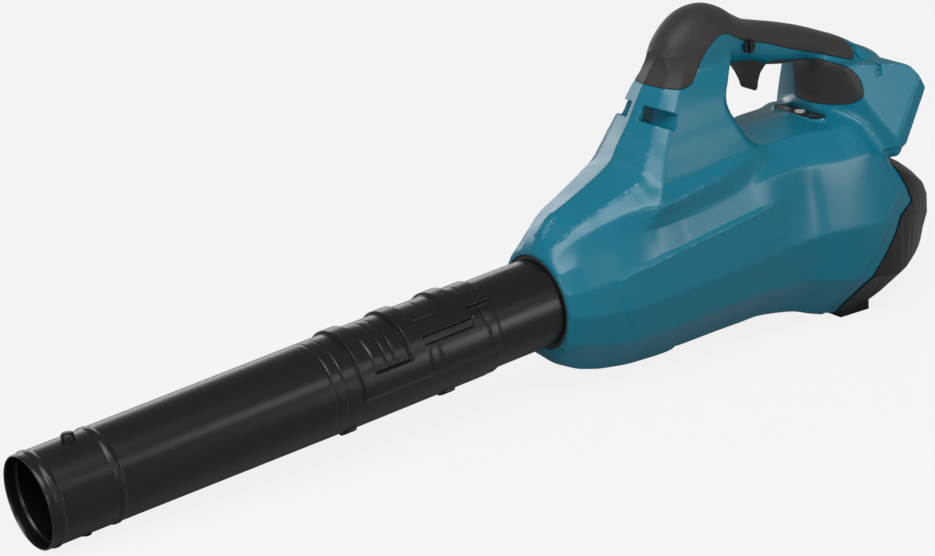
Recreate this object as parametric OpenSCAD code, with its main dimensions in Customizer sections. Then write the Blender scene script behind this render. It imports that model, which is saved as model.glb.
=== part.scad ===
// Hand-held cordless leaf blower with a telescoping nozzle and a rear dock for two slide-in batteries.
// Millimetres. The duct axis is X: the open end of the nozzle is at the origin and the tool's rear is +X.
// +Z is up when the tool is held, and the handle lies in the plane Y = 0.

/* [Long nozzle] */
// Outer radius of the nozzle's tube where it meets the adjusting section
tube_r = 40.2; // [38:0.1:44]
// How much smaller the tube is at its open end
tube_taper = 1.7; // [1:0.1:2.5]
// Wall of the tube round the adjusting section
sleeve_wall = 1.7; // [1.5:0.1:2]
// Length of the long nozzle
nozzle_len = 422; // [380:1:460]
// Wall of the nozzle at its open end
nozzle_wall = 2.2; // [1.8:0.1:2.6]
// Distance between two length positions
step_pitch = 50; // [46:1:54]
// Width of a locking band
band_w = 18; // [14:1:22]
// Height of the raised bayonet channel over the tube
channel_rise = 2.4; // [2.0:0.1:3]

/* [Outlet pipe] */
// Wall of the outlet pipe
pipe_wall = 2.2; // [1.8:0.1:2.6]
// Length of pipe in view between nozzle and housing
pipe_show = 65; // [60:1:75]
// Height of the two bayonet lugs
lug_h = 2.4; // [1.6:0.1:2.6]

/* [Housing] */
// Wall of the moulded housing
wall = 3; // [2.6:0.1:3.4]
// Gap between the outlet pipe and the mouth round it
mouth_gap = 3.8; // [3.3:0.1:5]
// Half width of the battery dock
dock_hw = 80; // [78:1:84]
// Rake of the dock's rear face from the vertical
dock_rake = 31; // [26:1:34]
// Depth of the two battery bays
bay_depth = 11; // [9:0.5:13]
// Width of a battery bay
bay_w = 62; // [56:1:66]

/* [Grips] */
// Thickness of the soft grip
grip_t = 2.6; // [2:0.1:3]

/* [Controls] */
// Half width of the trigger
trigger_hw = 8.5; // [7:0.5:9]
// Radius of the trigger's pin
pin_r = 2; // [1.5:0.1:2.4]
// Radius of the cruise lever's knob
knob_r = 6; // [5:0.25:7]
// Radius of the power button
button_r = 4.5; // [3.5:0.25:5.5]
// Half length of the control panel across the tool
panel_hw = 32; // [28:1:36]

/* [Fan and motor] */
// Radius of the fan's duct
duct_r = 54; // [52:0.5:55]
// Height of the fan's axis above the nozzle's axis
fan_z = -22; // [-24:1:-20]
// Number of blades on the impeller
blades = 9; // [7:1:13]
// Number of guide vanes behind the impeller
vanes = 7; // [5:1:11]
// Radius of the impeller's hub
hub_r = 25; // [23:0.5:27]
// Radius of the motor shaft
shaft_r = 4; // [3:0.25:5]
// Outer radius of the motor's stator
stator_r = 21; // [19:0.5:22]

/* [Intake] */
// Number of louvres on each side of the rear cover
louvres = 9; // [6:1:12]
// Height of a louvre slot
louvre_gap = 4.5; // [3.5:0.25:5]

/* [Hidden] */
$fn = 64;

// Clearance between pieces that move on each other
run_gap = 0.3;
// Clearance between pieces that are fitted together
seat_gap = 0.05;
// Overshoot of a cut past the face it opens
cut = 1;

// Distance of the housing's mouth from the open end of the nozzle
mouth_x = nozzle_len + pipe_show;
// Outer radius of the nozzle's open end, of the outlet pipe that runs in the nozzle, and of the mouth
tip_r = tube_r - tube_taper;
pipe_r = tube_r - sleeve_wall - run_gap;
mouth_r = pipe_r + mouth_gap;

// ---- shape functions ---------------------------------------------------------------

function signed_pow(v, e) = sign(v) * pow(abs(v), e);

// Point of a Catmull-Rom curve between b and c
function curve_point(a, b, c, d, t) =
    0.5 * (2 * b + (c - a) * t + (2 * a - 5 * b + 4 * c - d) * t * t + (3 * b - a - 3 * c + d) * t * t * t);

// A list of stations with k - 1 smooth ones added in each gap
function smooth(s, k) = concat(
    [for (i = [0 : len(s) - 2]) for (j = [0 : k - 1])
        curve_point(s[max(i - 1, 0)], s[i], s[i + 1], s[min(i + 2, len(s) - 1)], j / k)],
    [s[len(s) - 1]]);

// Section across X of a station [x, half width, top, bottom, squareness], drawn in by g
function ring_x(s, g, n) = [for (i = [0 : n - 1])
    let (a = 360 * (i + 0.5) / n, e = 2 / s[4])
    [s[0], (s[1] - g) * signed_pow(cos(a), e),
     (s[2] + s[3]) / 2 + ((s[2] - s[3]) / 2 - g) * signed_pow(sin(a), e)]];

// Section across Z of a station [z, front, rear, half width, squareness], drawn in by g
function ring_z(s, g, n) = [for (i = [0 : n - 1])
    let (a = 360 * (i + 0.5) / n, e = 2 / s[4])
    [(s[1] + s[2]) / 2 + ((s[2] - s[1]) / 2 - g) * signed_pow(cos(a), e),
     (s[3] - g) * signed_pow(sin(a), e), s[0]]];

// Closed skin over a row of rings with equally many points each
module loft(rings) {
    n = len(rings[0]);
    last = len(rings) - 1;
    sides = [for (i = [0 : last - 1]) for (j = [0 : n - 1])
        let (k = (j + 1) % n)
        each [[i * n + j, (i + 1) * n + j, (i + 1) * n + k], [i * n + j, (i + 1) * n + k, i * n + k]]];
    front = [for (j = [0 : n - 1]) j];
    rear = [for (j = [n - 1 : -1 : 0]) last * n + j];
    polyhedron([for (r = rings) each r], concat([front, rear], sides));
}

// Flat outline in X and Z, carried from y0 to y1
module side_prism(points, y0, y1) {
    translate([0, y1, 0])
        rotate([90, 0, 0])
            linear_extrude(y1 - y0)
                polygon(points);
}

// Solid of revolution about the X axis; outline points are [x, r]
module turned(outline, from = 0, sweep = 360) {
    rotate([0, 90, 0])
        rotate([0, 0, 180 + from])
            rotate_extrude(angle = sweep)
                polygon([for (p = outline) [p[1], p[0]]]);
}

// Cylinder along X
module rod_x(x0, x1, r) {
    translate([x0, 0, 0])
        rotate([0, 90, 0])
            cylinder(x1 - x0, r = r);
}

// Ring along X
module ring_rod(x0, x1, r_out, r_in) {
    difference() {
        rod_x(x0, x1, r_out);
        rod_x(x0 - cut, x1 + cut, r_in);
    }
}

// ---- main stations of the body, measured from the mouth or from the origin ----------

// Body from the mouth to the rear: [distance behind the mouth, height of the ridge, then half width and
// height of seven corners down one side (front face, shoulder, upper flank, flank panel, widest, lower
// flank, keel), underside]
body_rows = [
    [0, 46.5, 14, 44, 24, 39.5, 33, 32, 42, 19, 46, 0, 37, -30, 20, -46, -48.5],
    [6.6, 56, 18, 50.5, 25, 45.3, 36, 34, 46, 17, 48.5, -4, 41.5, -32, 22, -55, -57.5],
    [17, 66, 21.5, 56, 28, 51.7, 40, 36, 50, 17, 52.5, -6, 44.5, -34, 24, -61.2, -64.5],
    [27.6, 71.5, 22, 62, 31.5, 56.2, 43, 36.5, 52.5, 17.5, 55, -7, 47, -36, 26, -64.8, -68],
    [39, 75.5, 22.5, 66, 35, 60, 46.5, 38.5, 54, 18.5, 57, -8, 49, -39, 27, -68.2, -71],
    [51, 79.5, 24, 69.7, 38, 63, 49.5, 42, 55.5, 20.5, 58.5, -9, 51, -42, 28, -70.5, -73],
    [63, 84, 26, 74, 41.5, 66, 52, 45, 57, 22.8, 59.5, -10, 52, -44.5, 29, -72.6, -75],
    [75, 88.5, 27.5, 78.2, 46, 68.5, 53.7, 47.5, 58, 24.3, 60.3, -10, 52.5, -45, 29, -74.2, -76.5],
    [86, 92, 29.5, 81.5, 51.5, 69.6, 55.2, 49, 58.5, 25.5, 60.8, -10, 53, -45.5, 29.5, -75, -77.5],
    [96, 93, 30, 83.5, 57, 68.3, 56.6, 50.2, 58.8, 26.5, 61.2, -10, 53.3, -46, 30, -75.7, -78],
    [112, 89, 30, 82, 57, 69, 57, 51.2, 59.2, 27.6, 61.6, -10, 53.5, -46, 30, -76.2, -78.5],
    [118, 87, 30, 82, 57, 69, 57, 51.2, 59.2, 27.6, 61.6, -10, 53.5, -46, 30, -74.2, -76.6],
    [125, 85, 28, 80.5, 56.5, 70.8, 57.3, 52, 59.5, 28.6, 62, -10, 53.8, -46.2, 30, -75, -77.5],
    [163, 83, 26, 81, 55, 75.5, 57.5, 54, 60.2, 31.6, 62.2, -10, 54, -46.5, 30, -76.2, -78.5],
    [192, 82.5, 22, 81.3, 50, 78.8, 57.5, 55.5, 60.6, 33.6, 62.3, -10, 54.3, -47, 30, -77.5, -79.8],
    [215, 82.5, 20, 81, 43, 79, 57.5, 57, 61, 35.6, 62.5, -10, 54.8, -47.5, 30, -78.8, -81],
    [251, 82.5, 20, 81, 41, 78.5, 59, 56, 64, 34, 65.5, -8, 57, -50, 31, -87.2, -89.2],
    [272, 82.5, 20, 81, 43, 78, 63, 54, 69, 32, 70.5, -8, 61.5, -56, 33, -96, -98],
    [296, 81, 22, 79.5, 48, 75, 68, 52, 74.5, 30, 75.5, -10, 67, -62, 36, -103.5, -106.5],
    [322, 78, 24, 77, 54, 72, 73, 50, 78, 28, 78.5, -12, 70.5, -66, 40, -102, -105],
    [348, 44, 26, 43.5, 56, 40, 72, 28, 76, 12, 76, -16, 68, -72, 40, -97, -99],
    [368, 28, 26, 27.5, 52, 25, 67, 16, 71, 2, 71, -20, 62, -67, 38, -89, -91],
    [386, 14, 24, 13.7, 46, 11, 59, 4, 63, -8, 62, -26, 53, -62, 32, -77, -79],
    [397, 5, 20, 4.7, 40, 2, 52, -5, 56, -14, 55, -32, 46, -54, 28, -61, -62],
    [404, -6, 18, -6.3, 34, -8, 43, -14, 46, -22, 45, -33, 37, -43, 22, -46, -46.5]
];
// Front strut: [height, ridge, front face's edge (place, half width), facet's edge (place, half width), rear
// corner (place, half width), rear middle], places behind the mouth
strut_rows = [
    [58, 60, 76, 30, 88, 49, 222, 44, 236], [67.7, 70, 84, 32, 96, 55, 221, 46, 235],
    [75.5, 74, 90, 33, 100.5, 53.5, 218.5, 46.5, 233], [83.2, 80, 95, 33.5, 106.4, 49, 211, 46, 227],
    [91.7, 88, 101, 32, 111.3, 45.8, 204.5, 44.5, 219], [100.3, 94.5, 107, 30, 116.2, 42.8, 201, 42.5, 213],
    [109, 100, 113, 28, 120.9, 40.2, 197.5, 40, 209], [117.4, 107.5, 117.6, 26, 126.2, 37.5, 194, 37.3,
        206],
    [125.7, 114.5, 122.5, 24.5, 131.9, 35.2, 192.5, 35, 205], [133.6, 120, 127.3, 23, 138.4, 33.2, 195,
        33, 206],
    [141.7, 125.7, 132, 21.5, 144.6, 30.8, 201, 30, 209], [150, 131.5, 138, 20, 150.6, 28, 206.5, 26.5,
        213],
    [158, 138, 145, 18, 156.9, 25, 212, 23, 218], [166, 144.5, 150.5, 16, 161, 22, 214, 20, 221],
    [174, 152, 156, 14, 165, 19, 212, 17, 222]
];
// Handle: [distance behind the mouth, half width, top, bottom, squareness]
handle_rows = [
    [150, 14, 180, 150, 2.2], [158, 19, 191, 146, 2.2], [173, 23, 202, 144, 2.3], [188, 24, 207.5, 144,
        2.3],
    [205, 23, 207, 146, 2.3], [219, 21, 201, 148, 2.3], [232, 19, 191, 147, 2.3], [246, 18, 182, 144, 2.3],
    [262, 17.5, 176, 137, 2.3], [285, 17.5, 168, 131, 2.3], [310, 18, 158, 127, 2.3], [335, 20, 146,
        118, 2.4],
    [354, 24, 136, 106, 2.6], [371, 27, 122, 98, 2.8]
];

// The mouth's radius that the body rows were drawn for, and how far behind it a change fades out
drawn_mouth_r = 42;
drawn_reach = 60;

function shifted(rows) = [for (r = rows) [mouth_x + r[0], r[1], r[2], r[3], r[4]]];

// Half outline of a body row, from ridge to underside
function body_half(r) = concat([[0, r[1]]], [for (i = [2 : 2 : 14]) [r[i], r[i + 1]]], [[0, r[16]]]);
// How far a row grows when the mouth differs from the one that the rows were drawn for
function mouth_share(d) = 1 + (mouth_r / drawn_mouth_r - 1) * max(0, 1 - d / drawn_reach);
// A point moved towards c by g
function drawn_in(p, c, g) = p - g * (p - c) / norm(p - c);
// Whole ring of a body row at place x, drawn in by g
function body_ring(r, x, g) = let (
    half = body_half(r) * mouth_share(r[0]), c = (half[0] + half[8]) / 2,
    ring = concat([for (p = half) [-p[0], p[1]]], [for (i = [7 : -1 : 1]) half[i]])
) [for (p = ring) let (q = drawn_in(p, c, g)) [x, q[0], q[1]]];
// Whole ring of a strut row, drawn in by g
function strut_ring(r, g) = let (
    half = [[r[8], 0], [(r[6] + 3 * r[8]) / 4, 0.55 * r[7]], [(r[6] + r[8]) / 2, 0.85 * r[7]],
            [r[6], r[7]], [r[4], r[5]], [r[2], r[3]], [r[1], 0]],
    c = (half[0] + half[6]) / 2, ring = concat(half, [for (i = [5 : -1 : 1]) [half[i][0], -half[i][1]]])
) [for (p = ring) let (q = drawn_in(p, c, g)) [mouth_x + q[0], q[1], r[0]]];

// ---- outer forms ---------------------------------------------------------------------

body_end = 404;
// Distance behind the mouth where a form that is drawn in starts to shorten as well
end_from = 340;
// Barrel, nose and bell, drawn in by g all round and at the rear
module barrel_form(g, k = 2) {
    rows = smooth(body_rows, k);
    loft([for (r = rows)
        body_ring(r, mouth_x + r[0] - (r[0] > end_from ? g * (r[0] - end_from) / (body_end - end_from) : 0), g)]);
    if (g == 0)
        turned([[mouth_x, mouth_r - 4], [mouth_x, mouth_r + 4.3], [mouth_x + 0.5, mouth_r + 4.8],
                [mouth_x + 7, mouth_r + 6.6], [mouth_x + 7, mouth_r - 4]]);
}

module strut_form(g, top = 174, k = 2) {
    rows = smooth([for (r = strut_rows) if (r[0] <= top) r], k);
    loft([for (r = rows) strut_ring(r, g)]);
}

module handle_form(g, n = 24, k = 2) {
    rows = smooth(handle_rows, k);
    loft([for (r = shifted(rows)) ring_x(r, g, n)]);
}

// Rear face of the dock: bottom edge behind the mouth, its height, and its length up the rake
dock_x = 347;
dock_z = 38.6;
dock_h = 67;
// Depth and height of the bevel along the dock's top edge
bevel_depth = 22.3;
bevel_h = 14.7;
// Depth of the dock's straight flank
flank_depth = 12;
corner_r = 6;

module dock_frame() {
    translate([mouth_x + dock_x, 0, dock_z])
        rotate([0, dock_rake, 0])
            children();
}

// Thin rounded plate facing X, from z0 to z1
module plate(x, half, z0, z1) {
    translate([x, 0, (z0 + z1) / 2])
        rotate([90, 0, 90])
            linear_extrude(1)
                offset(corner_r, $fn = 16)
                    square([2 * (half - corner_r), z1 - z0 - 2 * corner_r], center = true);
}

// Front end of the dock, where it meets the handle
dock_core_x = 318;
dock_core_hw = 45;
module dock_form(g) {
    hull() {
        dock_frame() {
            plate(-1 - g, dock_hw - g, g, dock_h - g);
            plate(-flank_depth, dock_hw - g, g, dock_h + 4 - g);
            plate(-bevel_depth, dock_hw - 8 - g, bevel_h, dock_h + bevel_h - g);
        }
        plate(mouth_x + dock_core_x + g, dock_core_hw - g, 72 + g, 125 - g);
    }
}

// ---- split lines ---------------------------------------------------------------------

// Joint between housing and rear cover, behind the mouth
cover_line = [
    [345.5, 37.4], [365, -7.4], [347.5, -14.5], [339.5, -31.6], [317.5, -60.4], [299, -93.6], [292, -125],
    [440, -125], [440, 37.4]
];
// Outline of the upper soft grip, behind the mouth
grip_line = [
    [125, 158], [146, 151], [160, 150], [169, 153], [181, 168], [191, 178], [203, 183.5], [214, 182],
    [221, 176], [232, 169.5], [258, 160], [284, 147], [329, 128.5], [342, 122.5], [349, 124], [351, 131],
    [347, 138], [335, 170], [240, 230], [120, 230]
];

module cover_zone(grow) {
    side_prism_offset(cover_line, -130, 130, grow);
}

module grip_zone(grow) {
    side_prism_offset(grip_line, -60, 60, grow);
}

module side_prism_offset(points, y0, y1, grow) {
    translate([mouth_x, y1, 0])
        rotate([90, 0, 0])
            linear_extrude(y1 - y0)
                offset(delta = grow)
                    polygon(points);
}

// ---- strap slot, control panel and bays ----------------------------------------------

// Middle of the strap slot on the strut's ridge, and the ridge's slope
slot_x = 121;
slot_z = 135;
slot_slope = 26;
slot_h = 13.9;
slot_depth = 20;
web_hw = 4.5;
web_depth = 5;

module slot_frame() {
    translate([mouth_x + slot_x, 0, slot_z])
        rotate([0, slot_slope, 0])
            children();
}

// The slot runs right across the strut behind a web on the ridge
module strap_slot(grow) {
    slot_frame()
        translate([-10, -60, -slot_h / 2 - grow])
            cube([10 + slot_depth + grow, 120, slot_h + 2 * grow]);
}

module strap_web() {
    slot_frame()
        translate([-2, -web_hw, -slot_h / 2 - cut])
            cube([2 + web_depth, 2 * web_hw, slot_h + 2 * cut]);
}

panel_x = 304;
panel_z = 79.4;
panel_tilt = 7;
panel_half_w = 9;
panel_t = 2;

module panel_frame() {
    translate([mouth_x + panel_x, 0, panel_z])
        rotate([0, panel_tilt, 0])
            children();
}

// Six-sided outline of the panel, with points at both ends across the tool
module panel_outline(grow) {
    offset(delta = grow)
        polygon([[-panel_half_w, -panel_hw + 8], [0, -panel_hw], [panel_half_w, -panel_hw + 8],
                 [panel_half_w, panel_hw - 8], [0, panel_hw], [-panel_half_w, panel_hw - 8]]);
}

bay_y = dock_hw / 2 - 1;
rail_t = 3;
rail_lip = 4;
bay_floor = 7;

module bay_cut() {
    for (side = [-1, 1])
        dock_frame()
            translate([0, side * bay_y, bay_floor]) {
                translate([-bay_depth, -bay_w / 2, 0])
                    cube([bay_depth - rail_t, bay_w, dock_h + bevel_h]);
                translate([-bay_depth, -bay_w / 2 + rail_lip, 0])
                    cube([bay_depth + cut, bay_w - 2 * rail_lip, dock_h + bevel_h]);
            }
}

// Solid kept behind the bays so that their walls stay closed
module bay_walls() {
    dock_frame()
        translate([-bay_depth - wall, -dock_hw, 0])
            cube([bay_depth + wall, 2 * dock_hw, dock_h + bevel_h]);
}

// ---- inner layout --------------------------------------------------------------------

flange_x = 40;
flange_t = 3;
flange_r = pipe_r + 5.8;
pipe_end = 56;
duct_start = 255;
duct_end = 352;
duct_wall = 2;
iso_front = 268;
iso_rear = 322;
iso_w = 5;
iso_r = duct_r + duct_wall + 4;
rib_t = 4;

// Trigger pin and its bosses
pin_x = 229;
pin_z = 157;
boss_r = 5;

switch_x = 290;
switch_z = 148;
switch_tilt = 20;
switch_size = [22, 12, 11];

// Middle of the controller and its size
ctrl_x = 175;
ctrl_z = 50;
ctrl_size = [48, 44, 14];

// Places of the case screws behind the mouth, and their sizes
screw_at = [[34, -57], [150, -66], [112, 88], [214, 62], [196, 170], [306, 143]];
screw_r = 2;
screw_head_r = 3.6;
screw_y = 7;
screw_len = 20;
post_r = 5.4;

// Inner radius and axis height of the air duct at distance d behind the mouth
function duct_share(d) = (1 - cos(180 * (d - pipe_end) / (duct_start - pipe_end))) / 2;
function duct_in(d) = (pipe_r - pipe_wall) + duct_share(d) * (duct_r - pipe_r + pipe_wall);
function duct_mid(d) = fan_z * duct_share(d);

module slab(d, t) {
    translate([mouth_x + d, -100, -120])
        cube([t, 200, 215]);
}

module ribs() {
    difference() {
        union() {
            slab(flange_x - rib_t, rib_t);
            slab(flange_x + flange_t + 2 * seat_gap, rib_t);
            slab(iso_front, iso_w);
            slab(iso_rear, iso_w);
            for (d = [ctrl_x - 16, ctrl_x + 12]) slab(d, rib_t);
        }
        rod_x(mouth_x, mouth_x + flange_x + 10, pipe_r + seat_gap);
        translate([0, 0, fan_z])
            rod_x(mouth_x + iso_front - cut, mouth_x + iso_rear + 20, iso_r + seat_gap);
        for (d = [ctrl_x - 16, ctrl_x + 12])
            translate([0, 0, duct_mid(d)])
                rod_x(mouth_x + d - cut, mouth_x + d + rib_t + cut, duct_in(d) + duct_wall + 1.5);
        controller_box(seat_gap);
    }
    intersection() {
        difference() {
            translate([mouth_x + switch_x - 6, -20, 125])
                cube([rib_t, 40, 50]);
            switch_box(seat_gap);
        }
        handle_form(wall);
    }
    for (side = [-1, 1])
        translate([mouth_x + pin_x, side * (trigger_hw + run_gap), pin_z])
            rotate([-side * 90, 0, 0])
                cylinder(8, r = boss_r, $fn = 24);
    for (p = screw_at)
        translate([mouth_x + p[0], 70, p[1]])
            rotate([90, 0, 0])
                cylinder(140, r = post_r, $fn = 20);
}

module controller_box(grow) {
    translate([mouth_x + ctrl_x, 0, ctrl_z])
        cube([for (s = ctrl_size) s + 2 * grow], center = true);
}

module switch_box(grow) {
    translate([mouth_x + switch_x, 0, switch_z])
        rotate([0, switch_tilt, 0])
            cube([for (s = switch_size) s + 2 * grow], center = true);
}

module cavity() {
    difference() {
        union() {
            intersection() {
                barrel_form(wall, 1);
                translate([mouth_x + wall + 1, -100, -120])
                    cube([420, 200, 240]);
            }
            strut_form(wall, 142, 1);
            intersection() {
                handle_form(wall + grip_t, 20, 1);
                translate([mouth_x, -50, 60])
                    cube([348, 100, 200]);
            }
            dock_form(wall);
        }
        ribs();
        strap_slot(wall);
        bay_walls();
        panel_frame()
            translate([0, 0, -panel_t - 2.5])
                linear_extrude(10)
                    panel_outline(3);
    }
}

module screw_holes() {
    for (p = screw_at)
        translate([mouth_x + p[0], 0, p[1]]) {
            translate([0, screw_y, 0])
                rotate([90, 0, 0])
                    cylinder(screw_len + seat_gap, r = screw_r + seat_gap, $fn = 20);
            translate([0, screw_y + 60, 0])
                rotate([90, 0, 0])
                    cylinder(60, r = screw_head_r + seat_gap, $fn = 20);
        }
}

knob_x = 235.5;
knob_z = 164;
lever_shaft_r = 3;

module housing() {
    difference() {
        union() {
            difference() {
                union() {
                    barrel_form(0);
                    strut_form(0);
                    handle_form(0);
                    dock_form(0);
                    panel_frame()
                        translate([0, 0, -10])
                            linear_extrude(10)
                                panel_outline(2.5);
                }
                grip_zone(0);
                cover_zone(0);
                strap_slot(0);
                bay_cut();
            }
            intersection() {
                union() {
                    handle_form(grip_t + seat_gap);
                    strut_form(grip_t + seat_gap);
                }
                grip_zone(0.5);
            }
            intersection() {
                strap_web();
                strut_form(0);
            }
        }
        cavity();
        rod_x(mouth_x - cut, mouth_x + wall + 2, mouth_r);
        panel_frame() {
            translate([0, 0, -panel_t + 0.4])
                linear_extrude(20)
                    panel_outline(seat_gap);
            translate([0, 0, -12])
                linear_extrude(20)
                    panel_outline(-2);
        }
        trigger_opening();
        translate([mouth_x + pin_x, 0, pin_z])
            rotate([90, 0, 0])
                cylinder(2 * (trigger_hw + 5), r = pin_r + seat_gap, center = true, $fn = 24);
        translate([mouth_x + knob_x, 0, knob_z])
            rotate([90, 0, 0])
                cylinder(40, r = lever_shaft_r + run_gap, $fn = 24);
        screw_holes();
    }
}

// Outline of the slot in the handle that the trigger swings in
trigger_pocket = [[221.5, 118], [275, 115], [275, 158], [258, 167], [221.5, 167]];

// Slot under the handle
module trigger_opening() {
    side_prism([for (p = trigger_pocket) [mouth_x + p[0], p[1]]], -trigger_hw - run_gap, trigger_hw + run_gap);
}

module half(side) {
    intersection() {
        housing();
        translate([mouth_x - 10, side < 0 ? -120 : 0, -130])
            cube([460, 120, 360]);
    }
}

module housing_left() {
    color("teal")
        half(-1);
}

module housing_right() {
    color("teal")
        half(1);
}

// ---- nozzle and pipe -----------------------------------------------------------------

// Length of the plain rim at the open end
rim_len = 10;
// Place of the rib behind the rim, of the tip pegs, and of the ring where the taper ends
rib_x = 60;
peg_x = 42;
peg_r = 3.6;
taper_end = nozzle_len - 152;
// Middle of the thin line at the nozzle's rear end
rear_line_x = nozzle_len - 16;
// The locking bands start at these places along the nozzle
band_x = nozzle_len - 138;
band_at = [for (i = [0 : 2]) band_x + i * step_pitch];
// The bayonet channel spans these angles, from the top towards the left side
channel_from = 71;
channel_to = 90;
band_from = -25;
lug_w_deg = 10;
nozzle_bore = pipe_r + run_gap;
bore_start = taper_end - 8;
channel_r = tube_r + channel_rise;
groove_r = nozzle_bore + lug_h + run_gap - 0.1;
// Places of the two steps in the entry channel's lower edge
entry_a = nozzle_len - 54;
entry_b = nozzle_len - 22;

module raised(x0, x1, a0, a1, r) {
    for (turn = [0, 180])
        turned([[x0, nozzle_bore + 0.6], [x0, r - 0.5], [x0 + 0.5, r], [x1 - 0.5, r], [x1, r - 0.5],
                [x1, nozzle_bore + 0.6]], a0 + turn, a1 - a0);
}

module groove(x0, x1, a0, a1, r) {
    for (turn = [0, 180])
        turned([[x0, nozzle_bore - 1], [x0, r], [x1, r], [x1, nozzle_bore - 1]],
               a0 + turn, a1 - a0);
}

module long_nozzle() {
    color([0.09, 0.09, 0.1])
        difference() {
            union() {
                turned([
                    [0, 20], [0, tip_r - 0.6], [0.6, tip_r], [rim_len, tip_r], [rim_len + 0.6, tip_r - 0.6],
                    [rim_len + 3, tip_r - 0.6], [rim_len + 3.6, tip_r], [rib_x, tip_r + 0.2],
                    [rib_x + 1, tip_r + 1.2], [rib_x + 4.5, tip_r + 1.2], [rib_x + 5.5, tip_r + 0.4],
                    [taper_end, tube_r - 0.2], [taper_end + 1, tube_r + 0.3], [taper_end + 3, tube_r + 0.3],
                    [taper_end + 4, tube_r], [rear_line_x - 2, tube_r], [rear_line_x - 1, tube_r + 0.4],
                    [rear_line_x + 1, tube_r + 0.4], [rear_line_x + 2, tube_r], [nozzle_len - 1, tube_r],
                    [nozzle_len, tube_r - 1], [nozzle_len, 20]
                ]);
                for (turn = [0, 180])
                    rotate([turn, 0, 0])
                        translate([peg_x, 0, tip_r - 2])
                            cylinder(5.2, r = peg_r);
                for (x = band_at)
                    raised(x, x + band_w, band_from, channel_to, channel_r);
                raised(band_at[0] + 1, entry_a, channel_from - 3, channel_to - 0.5, channel_r - 0.1);
                raised(band_at[1] + 1, entry_a - 1, 20, channel_to - 1, channel_r - 0.2);
                raised(entry_a - 2, entry_b, 10, 58, channel_r - 0.3);
                raised(entry_b - 2, nozzle_len - 0.5, 18, 48, channel_r - 0.4);
            }
            turned([
                [-cut, 1], [-cut, tip_r - nozzle_wall + 0.8], [1, tip_r - nozzle_wall],
                [bore_start, tip_r - nozzle_wall + 1.2], [bore_start + 4, nozzle_bore],
                [nozzle_len + cut, nozzle_bore], [nozzle_len + cut, 1]
            ]);
            for (x = band_at)
                groove(x + 2, x + band_w - 2, band_from + 2, channel_to - 2, groove_r);
            groove(band_at[0] + 3, nozzle_len + cut, channel_from, channel_to - 2.5, groove_r - 0.05);
        }
}

lug_x = band_at[1] + 4;
lug_len = 9;

module outlet_pipe() {
    color([0.1, 0.1, 0.11])
        difference() {
            union() {
                turned([
                    [lug_x - 8, 20], [lug_x - 8, pipe_r - 1], [lug_x - 7, pipe_r],
                    [mouth_x + 5, pipe_r], [mouth_x + 6, mouth_r - run_gap],
                    [mouth_x + flange_x - rib_t - 8, mouth_r - run_gap],
                    [mouth_x + flange_x - rib_t - 7, pipe_r], [mouth_x + flange_x + seat_gap, pipe_r],
                    [mouth_x + flange_x + seat_gap, flange_r],
                    [mouth_x + flange_x + seat_gap + flange_t, flange_r],
                    [mouth_x + flange_x + seat_gap + flange_t, pipe_r], [mouth_x + pipe_end, pipe_r],
                    [mouth_x + pipe_end, 20]
                ]);
                for (turn = [0, 180])
                    turned([[lug_x, pipe_r - 0.5], [lug_x, pipe_r + lug_h], [lug_x + lug_len, pipe_r + lug_h],
                            [lug_x + lug_len, pipe_r - 0.5]],
                           (channel_from + channel_to - 2 - lug_w_deg) / 2 + turn, lug_w_deg);
            }
            rod_x(0, mouth_x + pipe_end + cut, pipe_r - pipe_wall);
        }
}

// Felt ring that closes the gap between the mouth and the pipe
module pipe_seal() {
    color([0.16, 0.16, 0.17])
        ring_rod(mouth_x + 1, mouth_x + 4, mouth_r - seat_gap, pipe_r + seat_gap);
}

// ---- grips ---------------------------------------------------------------------------

module grip_top() {
    color([0.22, 0.21, 0.21])
        difference() {
            intersection() {
                union() {
                    handle_form(0);
                    strut_form(0);
                }
                grip_zone(-seat_gap);
            }
            handle_form(grip_t);
            strut_form(grip_t);
        }
}

// Liner of the hand loop: [distance behind the mouth, height, half width] along its middle
liner_rows = [
    [268, 132, 10], [284, 129.5, 14], [300, 126.5, 18], [310, 121, 25], [318, 110, 33], [321, 98, 37],
    [319, 88, 38], [315, 80, 36]
];

module grip_rear() {
    color([0.2, 0.19, 0.19])
        difference() {
            union()
                for (i = [0 : len(liner_rows) - 2])
                    hull()
                        for (r = [liner_rows[i], liner_rows[i + 1]])
                            translate([mouth_x + r[0], 0, r[1]])
                                rotate([90, 0, 0])
                                    cylinder(2 * r[2], r = 5, center = true, $fn = 16);
            barrel_form(-seat_gap);
            handle_form(-seat_gap);
            dock_form(-seat_gap);
            switch_box(seat_gap);
            trigger_opening();
        }
}

// ---- trigger, switch and lever -------------------------------------------------------

// Outline of the trigger behind the mouth
trigger_line = [
    [231, 151], [236, 142], [241, 134], [245, 125], [246.2, 119.8], [248, 117.6], [250.3, 117.9],
        [251.5, 120],
    [252.5, 125], [256, 132], [262, 137], [270, 139.5], [270, 146], [258, 151.5], [234, 160], [229, 162.5],
    [224.5, 159.5], [224.5, 154.5]
];

module trigger() {
    color([0.08, 0.08, 0.09])
        difference() {
            side_prism([for (p = trigger_line) [mouth_x + p[0], p[1]]], -trigger_hw, trigger_hw);
            translate([mouth_x + pin_x, 0, pin_z])
                rotate([90, 0, 0]) {
                    cylinder(2 * trigger_hw + 2, r = pin_r + 0.06, center = true);
                    cylinder(7, r = 5.2, center = true);
                }
            translate([mouth_x + 218, -3.5, pin_z - 3])
                cube([11, 7, 12]);
        }
}

module trigger_pin() {
    color("silver")
        translate([mouth_x + pin_x, 0, pin_z])
            rotate([90, 0, 0])
                cylinder(2 * (trigger_hw + 4.5), r = pin_r, center = true);
}

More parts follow.
